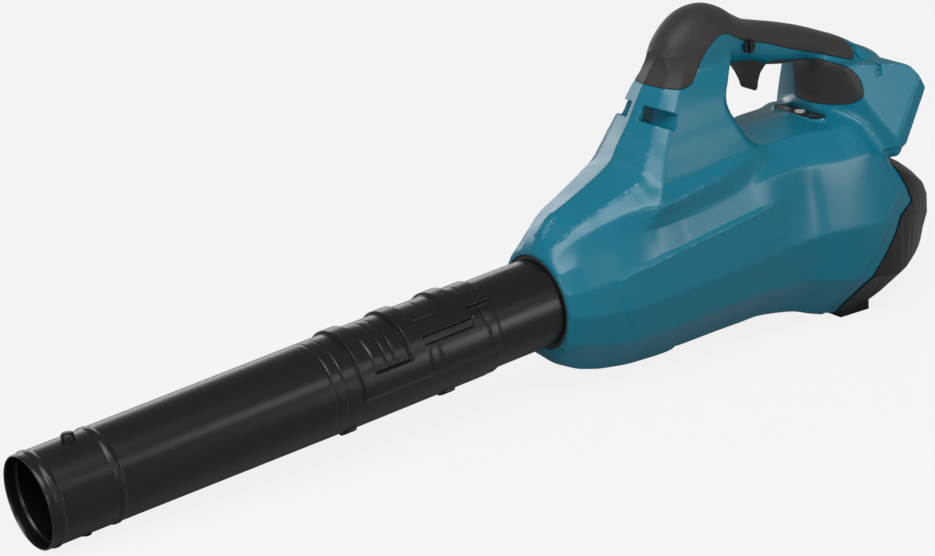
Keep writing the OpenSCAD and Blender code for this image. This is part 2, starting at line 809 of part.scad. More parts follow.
module trigger_spring() {
    color("gray")
        translate([mouth_x + pin_x, 0, pin_z])
            rotate([90, 0, 0])
                difference() {
                    cylinder(6, r = 4.2, center = true);
                    cylinder(8, r = pin_r + run_gap, center = true);
                }
}

module switch_body() {
    color([0.15, 0.15, 0.16])
        switch_box(0);
}

module cruise_lever() {
    color([0.07, 0.07, 0.08])
        translate([mouth_x + knob_x, 0, knob_z])
            rotate([90, 0, 0]) {
                translate([0, 0, 19.6])
                    cylinder(2.6, r = knob_r);
                translate([-1.4, -knob_r + 0.6, 22])
                    cube([2.8, 2 * knob_r - 1.2, 1.8]);
                translate([0, 0, 11])
                    cylinder(9, r = lever_shaft_r);
                translate([0, 0, 9.2])
                    cylinder(2, r = 4);
            }
}

// ---- control panel -------------------------------------------------------------------

lens_y = 16;
lens_size = [7, 10];

module control_panel() {
    color([0.08, 0.08, 0.09])
        panel_frame()
            difference() {
                translate([0, 0, -panel_t + 0.4])
                    linear_extrude(panel_t)
                        panel_outline(0);
                cylinder(3 * panel_t, r = button_r + run_gap, center = true);
                for (side = [-1, 1])
                    translate([0, side * lens_y, 0])
                        cube([lens_size[0], lens_size[1], 3 * panel_t], center = true);
            }
}

module lens(side) {
    color([0.35, 0.33, 0.32])
        panel_frame()
            translate([0, side * lens_y, -panel_t / 2 + 0.3])
                cube([lens_size[0] - 2 * seat_gap, lens_size[1] - 2 * seat_gap, panel_t], center = true);
}

module lens_left() {
    lens(-1);
}

module lens_right() {
    lens(1);
}

button_travel = 1;

module power_button() {
    color([0.6, 0.6, 0.6])
        panel_frame()
            translate([0, 0, -panel_t])
                cylinder(panel_t + 1.4, r = button_r);
}

// Small board under the panel with the push switch
module panel_board() {
    color("darkgreen")
        panel_frame() {
            translate([-6, -23, -panel_t + 0.35 - 4])
                cube([12, 46, 1.6]);
            for (side = [-1, 1])
                translate([-4, side * 20 - 1.5, -panel_t - 2.4])
                    cube([8, 3, 2.7]);
        }
}

// ---- battery terminals ---------------------------------------------------------------

term_size = [6, 30, 30];

module terminal(side) {
    color([0.12, 0.12, 0.13])
        dock_frame()
            translate([-bay_depth + seat_gap, side * bay_y - term_size[1] / 2, bay_floor + seat_gap])
                cube(term_size);
}

module terminal_left() {
    terminal(-1);
}

module terminal_right() {
    terminal(1);
}

module contact_blades(side) {
    color("goldenrod")
        dock_frame()
            for (y = [-9, 9])
                translate([-bay_depth + 2, side * bay_y + y - 0.4, bay_floor + term_size[2] + 2 * seat_gap])
                    cube([4, 0.8, 9]);
}

module blades_left() {
    contact_blades(-1);
}

module blades_right() {
    contact_blades(1);
}

// ---- rear cover and fan --------------------------------------------------------------

cover_wall = 2.6;
foot_hw = 34;
foot_drop = 2.5;

module intake_cover() {
    color([0.1, 0.1, 0.1])
        difference() {
            union() {
                intersection() {
                    barrel_form(0);
                    cover_zone(-seat_gap);
                }
                intersection() {
                    hull()
                        for (side = [-1, 1])
                            translate([mouth_x + 318, side * foot_hw, -104.6])
                                rotate([0, 4.9, 0])
                                    cube([34, 8, 9], center = true);
                    cover_zone(-seat_gap);
                }
            }
            barrel_form(cover_wall, 1);
            for (i = [0 : louvres - 1])
                hull()
                    for (side = [-1, 1])
                        translate([mouth_x + 380, side * 34, 0 - i * 7.6])
                            rotate([0, 90, 0])
                                cylinder(50, r = louvre_gap / 2, $fn = 12);
        }
}

mesh_x = 372;

module intake_mesh() {
    color([0.3, 0.3, 0.3])
        difference() {
            translate([mouth_x + mesh_x, 0, 0])
                intersection() {
                    translate([0, -70, -80])
                        cube([1.2, 140, 100]);
                    translate([-mouth_x - mesh_x, 0, 0])
                        barrel_form(cover_wall + 0.1, 1);
                }
        }
}

vane_t = 2;
stator_x = 262;
stator_len = 34;

module fan_duct() {
    color([0.2, 0.2, 0.2])
        translate([mouth_x, 0, fan_z]) {
            ring_rod(duct_start + seat_gap, duct_end, duct_r + duct_wall, duct_r);
            ring_rod(duct_start + 4, duct_start + 50, hub_r, stator_r + 1.5);
            for (i = [0 : vanes - 1])
                rotate([360 / vanes * i, 0, 0])
                    translate([duct_start + 10, -vane_t / 2, hub_r - 0.5])
                        cube([30, vane_t, duct_r - hub_r + 1]);
        }
}

module air_duct() {
    n = 32;
    steps = 8;
    ds = [for (i = [0 : steps]) pipe_end + seat_gap + i * (duct_start - pipe_end - seat_gap) / steps];
    outer = [for (d = ds) ring_x([mouth_x + d, duct_in(d) + duct_wall, duct_mid(d) + duct_in(d) + duct_wall,
                                  duct_mid(d) - duct_in(d) - duct_wall, 2], 0, n)];
    inner = [for (d = ds) ring_x([mouth_x + d, duct_in(d), duct_mid(d) + duct_in(d), duct_mid(d) - duct_in(d), 2],
                                 0, n)];
    color([0.25, 0.25, 0.26])
        tube_skin(outer, inner);
}

// Closed tube between two rows of rings
module tube_skin(outer, inner) {
    n = len(outer[0]);
    m = len(outer);
    last = m - 1;
    sides = [for (i = [0 : last - 1]) for (j = [0 : n - 1])
        let (k = (j + 1) % n, q = m * n)
        each [[i * n + j, (i + 1) * n + j, (i + 1) * n + k], [i * n + j, (i + 1) * n + k, i * n + k],
              [q + i * n + j, q + (i + 1) * n + k, q + (i + 1) * n + j],
              [q + i * n + j, q + i * n + k, q + (i + 1) * n + k]]];
    ends = [for (j = [0 : n - 1])
        let (k = (j + 1) % n, q = m * n, e = last * n)
        each [[j, k, q + k], [j, q + k, q + j], [e + j, q + e + k, e + k], [e + j, q + e + j, q + e + k]]];
    polyhedron(concat([for (r = outer) each r], [for (r = inner) each r]), concat(sides, ends));
}

module isolator(d) {
    color([0.12, 0.12, 0.12])
        translate([0, 0, fan_z])
            ring_rod(mouth_x + d, mouth_x + d + iso_w, iso_r, duct_r + duct_wall + seat_gap);
}

module isolator_front() {
    isolator(iso_front);
}

module isolator_rear() {
    isolator(iso_rear);
}

fan_x = 318;
fan_len = 24;
tip_gap = 0.8;

// One blade, from hub to tip, pitched more steeply at the hub
module blade() {
    stations = [[hub_r - 2, 52, 19], [(hub_r + duct_r) / 2, 40, 22], [duct_r - tip_gap - 1.4, 30, 24]];
    for (i = [0 : 1])
        hull()
            for (s = [stations[i], stations[i + 1]])
                translate([0, 0, s[0]])
                    rotate([0, 0, 90 - s[1]])
                        translate([-s[2] / 2, -0.8, 0])
                            cube([s[2], 1.6, 0.1]);
}

module impeller() {
    color([0.13, 0.13, 0.14])
        translate([mouth_x, 0, fan_z])
            difference() {
                union() {
                    rod_x(fan_x, fan_x + fan_len - 4, hub_r - run_gap);
                    translate([fan_x + fan_len - 4, 0, 0])
                        rotate([0, 90, 0])
                            cylinder(8, hub_r - run_gap, 12);
                    for (i = [0 : blades - 1])
                        rotate([360 / blades * i, 0, 0])
                            translate([fan_x + fan_len / 2, 0, 0])
                                blade();
                }
                rod_x(fan_x - cut, fan_x + 20, shaft_r + seat_gap);
            }
}

motor_x = 262;
motor_len = 44;

module motor_shaft() {
    color("silver")
        translate([mouth_x, 0, fan_z])
            rod_x(motor_x - 2, fan_x + 18, shaft_r);
}

rotor_r = 11;

module motor_rotor() {
    color("dimgray")
        translate([mouth_x, 0, fan_z])
            ring_rod(motor_x + 8, motor_x + motor_len - 10, rotor_r, shaft_r + seat_gap);
}

module motor_stator() {
    color("sienna")
        translate([mouth_x, 0, fan_z])
            difference() {
                ring_rod(motor_x + 7, motor_x + motor_len - 9, stator_r + 1.45, rotor_r + 0.6);
                for (i = [0 : 5])
                    rotate([60 * i, 0, 0])
                        translate([motor_x, -1.2, rotor_r])
                            cube([motor_len, 2.4, 6]);
            }
}

bearing_w = 6;

module bearing(d) {
    color("lightgray")
        translate([mouth_x, 0, fan_z])
            ring_rod(d, d + bearing_w, 9, shaft_r + 0.06);
}

module bearing_front() {
    bearing(motor_x + 0.5);
}

module bearing_rear() {
    bearing(motor_x + motor_len - 8);
}

// End plates that carry the bearings inside the stator hub
module motor_plates() {
    color([0.5, 0.5, 0.52])
        translate([mouth_x, 0, fan_z])
            for (d = [motor_x + 0.5, motor_x + motor_len - 8])
                ring_rod(d, d + bearing_w, stator_r + 1.45, 9 + seat_gap);
}

module controller() {
    color([0.7, 0.7, 0.72])
        difference() {
            controller_box(0);
            for (i = [-4 : 4])
                translate([mouth_x + ctrl_x - ctrl_size[0] / 2 - cut, i * 4.6 - 1, ctrl_z + ctrl_size[2] / 2 - 4])
                    cube([ctrl_size[0] + 2 * cut, 2, 5]);
        }
}

module case_screws() {
    color("dimgray")
        for (p = screw_at)
            translate([mouth_x + p[0], screw_y, p[1]])
                rotate([90, 0, 0]) {
                    cylinder(screw_len, r = screw_r);
                    translate([0, 0, -3])
                        cylinder(3, r = screw_head_r);
                }
}

housing_left();
housing_right();
long_nozzle();
outlet_pipe();
pipe_seal();
grip_top();
grip_rear();
trigger();
trigger_pin();
trigger_spring();
switch_body();
cruise_lever();
control_panel();
power_button();
panel_board();
lens_left();
lens_right();
terminal_left();
terminal_right();
blades_left();
blades_right();
intake_cover();
intake_mesh();
fan_duct();
air_duct();
isolator_front();
isolator_rear();
impeller();
motor_shaft();
motor_rotor();
motor_stator();
motor_plates();
bearing_front();
bearing_rear();
controller();
case_screws();
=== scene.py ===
"""Handheld cordless blower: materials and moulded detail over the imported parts.

Pieces are in metres, in the parts' own frame. Forms are worked out in millimetres first.
"""

import bpy
import numpy as np
from mathutils import Matrix, Vector


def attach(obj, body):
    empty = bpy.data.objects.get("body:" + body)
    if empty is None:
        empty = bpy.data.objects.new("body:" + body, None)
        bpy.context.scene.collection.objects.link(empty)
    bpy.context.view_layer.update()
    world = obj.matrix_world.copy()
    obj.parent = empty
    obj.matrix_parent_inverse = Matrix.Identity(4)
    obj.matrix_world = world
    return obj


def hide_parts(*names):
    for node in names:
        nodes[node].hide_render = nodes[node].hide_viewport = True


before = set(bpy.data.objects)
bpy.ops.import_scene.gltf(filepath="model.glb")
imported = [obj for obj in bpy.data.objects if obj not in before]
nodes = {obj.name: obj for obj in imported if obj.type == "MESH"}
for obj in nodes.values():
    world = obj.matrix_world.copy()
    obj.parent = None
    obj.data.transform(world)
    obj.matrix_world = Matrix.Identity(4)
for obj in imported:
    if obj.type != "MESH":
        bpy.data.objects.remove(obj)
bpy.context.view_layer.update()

# ---- Camera ------------------------------------------------------------------------
# A product shot from the nozzle's left, a little above the tool. It aims near the tool's
# middle through a long lens, so the two ends keep their proportions.
aim = Vector((0.420411, 0.0, 0.044266))
towards_camera = Vector((-0.50846, -0.77533, 0.37461)).normalized()
picture_right = Vector((0.80377, -0.58342, -0.11655))
camera_distance = 2.4165
sensor_width = 36.0
lens_pixels = 2931.189
picture_pixels = 935.0
picture_up = towards_camera.cross(picture_right).normalized()
picture_right = picture_up.cross(towards_camera).normalized()
camera_data = bpy.data.cameras.new("camera")
camera_data.sensor_width = sensor_width
camera_data.lens = lens_pixels * sensor_width / picture_pixels
camera = bpy.data.objects.new("camera", camera_data)
bpy.context.scene.collection.objects.link(camera)
camera_turn = Matrix((picture_right, picture_up, towards_camera)).transposed()
camera.matrix_world = Matrix.Translation(aim + towards_camera * camera_distance) @ camera_turn.to_4x4()
bpy.context.scene.camera = camera

# ---- Floor, lamps and surroundings ---------------------------------------------------
# White paper under the tool, which leans on the nozzle's rim and the cover's foot. Large
# softboxes hang overhead, at the left, beside the camera and behind, and three small ones
# at the camera's right draw the narrow highlights on the housing.
floor_slope = 0.088
floor_drop = 0.0392
paper_grain_per_metre = 220.0
white = (1.0, 1.0, 1.0, 1.0)


def linear(hex_colour):
    """The linear colour that a shader takes, from sRGB hex such as 1f7d92.

    A channel is divided by 12.92 near black, and above it is the 2.4 power of (c + 0.055) / 1.055.
    """
    c = np.array([int(hex_colour[i:i + 2], 16) for i in (0, 2, 4)]) / 255.0
    c = np.where(c <= 0.04045, c / 12.92, ((c + 0.055) / 1.055) ** 2.4)
    return (*map(float, c), 1.0)


def add(material, kind, settings=None, links=None):
    """Adds one shader node.

    settings are its own attributes or unlinked sockets by name, and links are sockets that
    are fed by (node, output).
    """
    node = material.node_tree.nodes.new(kind)
    for name, value in (settings or {}).items():
        if isinstance(name, str) and hasattr(node, name):
            setattr(node, name, value)
        else:
            node.inputs[name].default_value = value
    for name, (source, output) in (links or {}).items():
        material.node_tree.links.new(source.outputs[output], node.inputs[name])
    return node


def blank(name):
    """A new material with only its output node, and that node."""
    material = bpy.data.materials.new(name)
    material.use_nodes = True
    material.node_tree.nodes.clear()
    return material, add(material, "ShaderNodeOutputMaterial")


def mesh_object(name, points, faces, material):
    """A mesh object at the origin from points in metres and lists of corner numbers."""
    mesh = bpy.data.meshes.new(name)
    mesh.from_pydata(np.asarray(points, float).tolist(), [], [list(map(int, f)) for f in faces])
    mesh.materials.append(material)
    thing = bpy.data.objects.new(name, mesh)
    bpy.context.scene.collection.objects.link(thing)
    return thing


# Matt paper with a faint grain. To the camera most of it is plain white, and the rest shows
# the tool's shadow.
paper, paper_out = blank("white_paper_sweep")
paper_grain = add(paper, "ShaderNodeTexNoise", {"Scale": paper_grain_per_metre, "Detail": 3.0})
paper_tone = add(paper, "ShaderNodeMapRange", {"To Min": 0.46, "To Max": 0.5},
                 {"Value": (paper_grain, "Fac")})
paper_skin = add(paper, "ShaderNodeBsdfDiffuse", {"Roughness": 0.9}, {"Color": (paper_tone, 0)})
paper_white = add(paper, "ShaderNodeEmission", {"Strength": 1.0, "Color": white})
paper_rays = add(paper, "ShaderNodeLightPath")
paper_share = add(paper, "ShaderNodeMath", {"operation": "MULTIPLY", 1: 0.85},
                  {0: (paper_rays, "Is Camera Ray")})
paper_mix = add(paper, "ShaderNodeMixShader", {},
                {0: (paper_share, 0), 1: (paper_skin, 0), 2: (paper_white, 0)})
paper.node_tree.links.new(paper_mix.outputs[0], paper_out.inputs["Surface"])
sweep = np.array([(-4.0, -5.0), (5.0, -5.0), (5.0, 4.0), (-4.0, 4.0)])
floor_points = np.column_stack([sweep, -floor_drop - floor_slope * sweep[:, 0]])
floor = mesh_object("floor", floor_points, [(0, 1, 2, 3)], paper)


def softbox(name, direction, distance, size, power):
    """An area lamp of (width, height) metres, at that distance from the aim point and turned to it."""
    lamp = bpy.data.lights.new(name, "AREA")
    lamp.shape = "RECTANGLE"
    lamp.size, lamp.size_y = size
    lamp.energy = power
    thing = bpy.data.objects.new(name, lamp)
    bpy.context.scene.collection.objects.link(thing)
    way = Vector(direction).normalized()
    thing.location = aim + way * distance
    thing.rotation_euler = (-way).to_track_quat("-Z", "Y").to_euler()


softbox("lamp_key", (-0.32, -0.34, 0.87), 2.5, (2.3, 1.2), 38.0)
softbox("lamp_left", (-0.95, -0.3, 0.12), 2.6, (1.0, 1.0), 12.0)
softbox("lamp_right", (0.59, -0.805, 0.12), 1.55, (0.4, 0.16), 0.7)
softbox("lamp_upper", (0.31, -0.8, 0.5), 1.5, (0.4, 0.2), 1.1)
softbox("lamp_fill", (-0.42, -0.86, 0.3), 2.6, (0.8, 0.8), 6.0)
softbox("lamp_strip", (0.495, -0.868, 0.03), 1.42, (0.05, 0.35), 0.9)
softbox("lamp_back", (0.2, 1.0, 0.16), 2.6, (2.4, 0.9), 14.0)

# The camera sees a white surrounding, and the pieces are lit by a weak warm one.
world = bpy.data.worlds.new("studio")
bpy.context.scene.world = world
world.use_nodes = True
world.node_tree.nodes.clear()
world_rays = add(world, "ShaderNodeLightPath")
world_soft = add(world, "ShaderNodeBackground", {"Color": linear("fff8ea"), "Strength": 0.22})
world_white = add(world, "ShaderNodeBackground", {"Color": white, "Strength": 1.0})
world_mix = add(world, "ShaderNodeMixShader", {},
                {0: (world_rays, "Is Camera Ray"), 1: (world_soft, 0), 2: (world_white, 0)})
add(world, "ShaderNodeOutputWorld", {}, {"Surface": (world_mix, 0)})
bpy.context.scene.view_settings.view_transform = "Standard"

# ---- Housing -------------------------------------------------------------------------
# Two halves moulded in teal ABS, screwed together along the middle. The tool steel was
# spark-eroded very finely, so the skin is nearly glossy and softens what it mirrors.
mm = 0.001
clouds_per_metre = 38.0


def moulded(name, tint, shade, roughness, grain_mm, grain_height, ior=1.5, sheen=0.0):
    """A moulded plastic or rubber.

    tint and shade cloud into each other over some centimetres. grain_mm is the pitch of the
    mould's texture, and grain_height its depth in millimetres.
    """
    material, output = blank(name)
    where = add(material, "ShaderNodeTexCoord")
    cloud = add(material, "ShaderNodeTexNoise", {"Scale": clouds_per_metre, "Detail": 4.0, "Roughness": 0.6},
                {"Vector": (where, "Object")})
    colour = add(material, "ShaderNodeMix", {"data_type": "RGBA", 6: linear(tint), 7: linear(shade)},
                 {0: (cloud, "Fac")})
    grain = add(material, "ShaderNodeTexNoise", {"Scale": 1000.0 / grain_mm, "Detail": 2.0},
                {"Vector": (where, "Object")})
    gloss = add(material, "ShaderNodeMapRange", {"To Min": roughness - 0.05, "To Max": roughness + 0.05},
                {"Value": (grain, "Fac")})
    bump = add(material, "ShaderNodeBump", {"Strength": 0.5, "Distance": grain_height / 1000.0},
               {"Height": (grain, "Fac")})
    skin = add(material, "ShaderNodeBsdfPrincipled", {"IOR": ior, "Sheen Weight": sheen},
               {"Base Color": (colour, 2), "Roughness": (gloss, 0), "Normal": (bump, 0)})
    material.node_tree.links.new(skin.outputs[0], output.inputs["Surface"])
    return material


# Nearly glossy ABS, which softens the softboxes to pale patches with blurred edges.
teal_abs = moulded("teal_moulded_abs", "0a7e9a", "097893", 0.26, 0.7, 0.006, ior=1.53)

# The form is in millimetres: x behind the mouth, y out from the middle and z up.
mouth = 487.0
wall = 3.7
clearance = 0.2
parting = 0.12
mouth_bore = 42
mouth_depth = 20
rebate_width = 13
rebate_depth = 1.5
screw_at = [(34, -57), (150, -66), (112, 88), (214, 62), (196, 170), (306, 143)]
screw_well = 3.7
liner_reach = 23

# Barrel and bell: distance behind the mouth, height of the top, half width and height of
# seven corners down the flank, and height of the underside.
body_rows = np.array([
    [0, 46.5, 14, 44, 24, 39.5, 33, 32, 42, 19, 46, 0, 37, -30, 20, -46, -48.5],
    [6.6, 56, 18, 50.5, 25, 45.3, 36, 34, 46, 17, 48.5, -4, 41.5, -32, 22, -55, -57.5],
    [17, 66, 21.5, 56, 28, 51.7, 40, 36, 50, 17, 52.5, -6, 44.5, -34, 24, -61.2, -64.5],
    [27.6, 71.5, 22, 62, 31.5, 56.2, 43, 36.5, 52.5, 17.5, 55, -7, 47, -36, 26, -64.8, -68],
    [39, 75.5, 22.5, 66, 35, 60, 46.5, 38.5, 54, 18.5, 57, -8, 49, -39, 27, -68.2, -71],
    [51, 79.5, 24, 69.7, 38, 63, 49.5, 42, 55.5, 20.5, 58.5, -9, 51, -42, 28, -70.5, -73],
    [63, 84, 26, 74, 41.5, 66, 52, 45, 57, 22.8, 59.5, -10, 52, -44.5, 29, -72.6, -75],
    [75, 88.5, 27.5, 78.2, 46, 68.5, 53.7, 47.5, 58, 24.3, 60.3, -10, 52.5, -45, 29, -74.2, -76.5],
    [86, 92, 29.5, 81.5, 51.5, 69.6, 55.2, 49, 58.5, 25.5, 60.8, -10, 53, -45.5, 29.5, -75, -77.5],
    [96, 93, 30, 83.5, 57, 68.3, 56.6, 50.2, 58.8, 26.5, 61.2, -10, 53.3, -46, 30, -75.7, -78],
    [112, 89, 30, 82, 57, 69, 57, 51.2, 59.2, 27.6, 61.6, -10, 53.5, -46, 30, -76.2, -78.5],
    [118, 87, 30, 82, 57, 69, 57, 51.2, 59.2, 27.6, 61.6, -10, 53.5, -46, 30, -74.2, -76.6],
    [125, 85, 28, 80.5, 56.5, 70.8, 57.3, 52, 59.5, 28.6, 62, -10, 53.8, -46.2, 30, -75, -77.5],
    [163, 83, 26, 81, 55, 75.5, 57.5, 54, 60.2, 31.6, 62.2, -10, 54, -46.5, 30, -76.2, -78.5],
    [192, 82.5, 22, 81.3, 50, 78.8, 57.5, 55.5, 60.6, 33.6, 62.3, -10, 54.3, -47, 30, -77.5, -79.8],
    [215, 82.5, 20, 81, 43, 79, 57.5, 57, 61, 35.6, 62.5, -10, 54.8, -47.5, 30, -78.8, -81],
    [251, 82.5, 20, 81, 41, 78.5, 59, 56, 64, 34, 65.5, -8, 57, -50, 31, -87.2, -89.2],
    [272, 82.5, 20, 81, 43, 78, 63, 54, 69, 32, 70.5, -8, 61.5, -56, 33, -96, -98],
    [296, 81, 22, 79.5, 48, 75, 68, 52, 74.5, 30, 75.5, -10, 67, -62, 36, -103.5, -106.5],
    [322, 78, 24, 77, 54, 72, 73, 50, 78, 28, 78.5, -12, 70.5, -66, 40, -102, -105],
    [348, 44, 26, 43.5, 56, 40, 72, 28, 76, 12, 76, -16, 68, -72, 40, -97, -99],
    [368, 28, 26, 27.5, 52, 25, 67, 16, 71, 2, 71, -20, 62, -67, 38, -89, -91],
    [386, 14, 24, 13.7, 46, 11, 59, 4, 63, -8, 62, -26, 53, -62, 32, -77, -79],
    [397, 5, 20, 4.7, 40, 2, 52, -5, 56, -14, 55, -32, 46, -54, 28, -61, -62],
    [404, -6, 18, -6.3, 34, -8, 43, -14, 46, -22, 45, -33, 37, -43, 22, -46, -46.5]
], float)

# Strut: height, place of the front, place and half width of three corners, and place of the rear.
strut_rows = np.array([
    [58, 60, 76, 30, 88, 49, 222, 44, 236],
    [67.7, 70, 84, 32, 96, 55, 221, 46, 235],
    [75.5, 74, 90, 33, 100.5, 53.5, 218.5, 46.5, 233],
    [83.2, 80, 95, 33.5, 106.4, 49, 211, 46, 227],
    [91.7, 88, 101, 32, 111.3, 45.8, 204.5, 44.5, 219],
    [100.3, 94.5, 107, 30, 116.2, 42.8, 201, 42.5, 213],
    [109, 100, 113, 28, 120.9, 40.2, 197.5, 40, 209],
    [117.4, 107.5, 117.6, 26, 126.2, 37.5, 194, 37.3, 206],
    [125.7, 114.5, 122.5, 24.5, 131.9, 35.2, 192.5, 35, 205],
    [133.6, 120, 127.3, 23, 138.4, 33.2, 195, 33, 206],
    [141.7, 125.7, 132, 21.5, 144.6, 30.8, 201, 30, 209],
    [150, 131.5, 138, 20, 150.6, 28, 206.5, 26.5, 213],
    [158, 138, 145, 18, 156.9, 25, 212, 23, 218],
    [166, 144.5, 150.5, 16, 161, 22, 214, 20, 221],
    [174, 152, 156, 14, 165, 19, 212, 17, 222]
], float)

# Handle: distance behind the mouth, half width, top, underside, and how square its oval is.
handle_rows = np.array([
    [150, 14, 180, 150, 2.2], [158, 19, 191, 146, 2.2], [173, 23, 202, 144, 2.3],
    [188, 24, 207.5, 144, 2.3], [205, 23, 207, 146, 2.3], [219, 21, 201, 148, 2.3],
    [232, 19, 191, 147, 2.3], [246, 18, 182, 144, 2.3], [262, 17.5, 176, 137, 2.3],
    [285, 17.5, 168, 131, 2.3], [310, 18, 158, 127, 2.3], [335, 20, 146, 118, 2.4],
    [354, 24, 136, 106, 2.6], [371, 27, 122, 98, 2.8]
], float)

# Dock: its rear face stands on dock_axis, which is a point and a lean in degrees. Each other
# face is a point, its outward direction, that direction's length, and the edge's rounding.
dock_axis = (347.0, 38.6, 31)
dock_half = 80.0
dock_front = 318
dock_faces = [(370.0, 120.1, 24.1, 11.5, 26.7, 2), (318.0, 125.0, 4.9, 52.0, 52.2, 5),
              (336.7, 44.8, -27.2, -18.7, 33.0, 4)]

# Side views of what other pieces take over: soft grip, loop liner, rear cover and trigger.
grip_line = np.array([
    [125, 158], [146, 151], [160, 150], [169, 153], [181, 168], [191, 178], [203, 183.5], [214, 182],
    [221, 176], [232, 169.5], [258, 160], [284, 147], [329, 128.5], [342, 122.5], [349, 124], [351, 131],
    [347, 138], [335, 170], [240, 230], [120, 230]
], float)
liner_line = np.array([
    [254, 128], [257, 136], [268, 141], [285, 136], [305, 131], [322, 127], [331, 119], [334, 108],
    [331, 95], [324, 87], [312, 85], [300, 85], [298, 104], [284, 122]
], float)
cover_line = np.array([
    [345.5, 37.4], [365, -7.4], [347.5, -14.5], [339.5, -31.6], [317.5, -60.4], [299, -93.6], [292, -125],
    [440, -125], [440, 37.4]
], float)
trigger_pocket = np.array([[221.5, 118], [275, 115], [275, 158], [258, 167], [221.5, 167]], float)
trigger_half = 8.8

# Strap slot with a web across it, battery bays with a guide groove at each side, the key
# panel's seat and the notch behind the grip. Slot, bays and seat have axes like the dock's,
# and front and rear are places along these.
slot_axis = (121, 135, 26)
slot_half = 6.95
slot_front = -10
slot_rear = 20
web_half = 7
web_front = -2
web_rear = 5
bay_middle = 39
bay_half = 27
bay_floor = 7
bay_front = -11
groove_half = 31
groove_rear = -3
panel_axis = (304, 79.4, 7)
panel_half_length = 9
panel_half_width = 32
panel_side_slope = 8.0 / 9.0
panel_side_length = 1.338
panel_rim = 1.5
rim_height = 10
seat_middle = 3
seat_half = 4.8
notch_x = 353
notch_z = 130
notch_slope = 0.35
notch_half = 1.6
notch_low = 112
notch_depth = 2.5


def between(rows, step):
    """Rows on a Catmull-Rom curve through the given ones, taken at every step of their first column."""
    p = np.vstack([rows[:1], rows, rows[-1:]])
    a, b, c, d = p[:-3, None], p[1:-2, None], p[2:-1, None], p[3:, None]
    t = (np.arange(12) / 12.0)[None, :, None]
    curve = 0.5 * (2 * b + (c - a) * t + (2 * a - 5 * b + 4 * c - d) * t ** 2
                   + (3 * b - a - 3 * c + d) * t ** 3)
    curve = np.vstack([curve.reshape(-1, rows.shape[1]), rows[-1:]])
    at = np.arange(rows[0, 0], rows[-1, 0] + 0.5 * step, step)
    return np.column_stack([at] + [np.interp(at, curve[:, 0], curve[:, i]) for i in range(1, rows.shape[1])])


def blur(table, reach, axis):
    """Running mean under a bell curve of that reach in cells. The edges are mirrored."""
    n = int(np.ceil(3 * reach))
    bell = np.exp(-0.5 * (np.arange(-n, n + 1) / reach) ** 2)
    pad = [(n, n) if i == axis else (0, 0) for i in range(table.ndim)]
    wide = np.pad(table, pad, mode="reflect")
    cut = [slice(None)] * table.ndim
    total = np.zeros_like(table)
    for i, share in enumerate(bell / bell.sum()):
        cut[axis] = slice(i, i + table.shape[axis])
        total += share * wide[tuple(cut)]
    return total


def radius_table(corner_u, corner_v, turns):
    """Reach of a closed outline from its middle, with a row for each station and a column for each turn.

    Every edge is cut by the ray at that angle, and the furthest cut that lies on its edge counts.
    """
    reach = np.full((len(corner_u), len(turns)), np.nan)
    ray_u, ray_v = np.cos(turns)[None], np.sin(turns)[None]
    for i in range(corner_u.shape[1] - 1):
        u, v = corner_u[:, i, None], corner_v[:, i, None]
        du, dv = corner_u[:, i + 1, None] - u, corner_v[:, i + 1, None] - v
        det = ray_u * dv - ray_v * du
        det = np.where(np.abs(det) < 1e-9, 1e-9, det)
        far = (u * dv - v * du) / det
        share = (u * ray_v - v * ray_u) / det
        good = (far > 0) & (share > -0.001) & (share < 1.001)
        reach = np.where(good, np.fmax(np.where(good, far, -1), reach), reach)
    return reach


def lean_table(table, turns):
    """Cosine between the ray and the skin's normal at each cell of a table of reaches."""
    around = np.gradient(table, axis=1) / np.gradient(turns) / table
    along = np.gradient(table, axis=0)
    return 1 / np.sqrt(1 + around ** 2 + along ** 2)


def look_up(table, row, column):
    """Value between the four nearest cells of a table."""
    row = np.clip(row, 0, table.shape[0] - 1.001)
    column = np.clip(column, 0, table.shape[1] - 1.001)
    i, j = row.astype(int), column.astype(int)
    a, b = row - i, column - j
    return ((table[i, j] * (1 - a) + table[i + 1, j] * a) * (1 - b)
            + (table[i, j + 1] * (1 - a) + table[i + 1, j + 1] * a) * b)


def step_up(value, width):
    """0 below zero, 1 above, with a smooth ramp of that width between."""
    t = np.clip(value / width + 0.5, 0, 1)
    return t * t * (3 - 2 * t)


def hump(value, low, high, rise, fall):
    """1 between low and high, falling straight to 0 at both over rise and fall."""
    return np.clip((value - low) / rise, 0, 1) * np.clip((high - value) / fall, 0, 1)


def soft_max(a, b, r):
    """The larger of two distances, with the edge between them rounded over r."""
    h = np.maximum(r - np.abs(a - b), 0) / r
    return np.maximum(a, b) + h * h * r / 4


def soft_min(a, b, r):
    """The smaller of two distances, with the corner between them rounded over r."""
    return -soft_max(-a, -b, r)


# The barrel is drawn in above its crease, the bell is fuller below its own, and the shoulder
# in front of the strut is wider and higher. From column 2 on, even columns are the corners'
# half widths and odd ones their heights.
behind = body_rows[:, 0]
on_barrel = (behind > 30) & (behind < 230)
on_bell = (behind > 240) & (behind < 330)
shoulder = hump(behind, 10, 120, 25, 20)
body_rows[:, 2] += 4.5 * shoulder
body_rows[:, 3] += 2.2 * shoulder
body_rows[:, 6] -= 3.2 * hump(behind, 30, 230, 20, 40) + 2.0 * on_bell
body_rows[:, 8] += 0.8 * on_barrel - 4.0 * on_bell
body_rows[:, 10] += 1.5 * on_bell

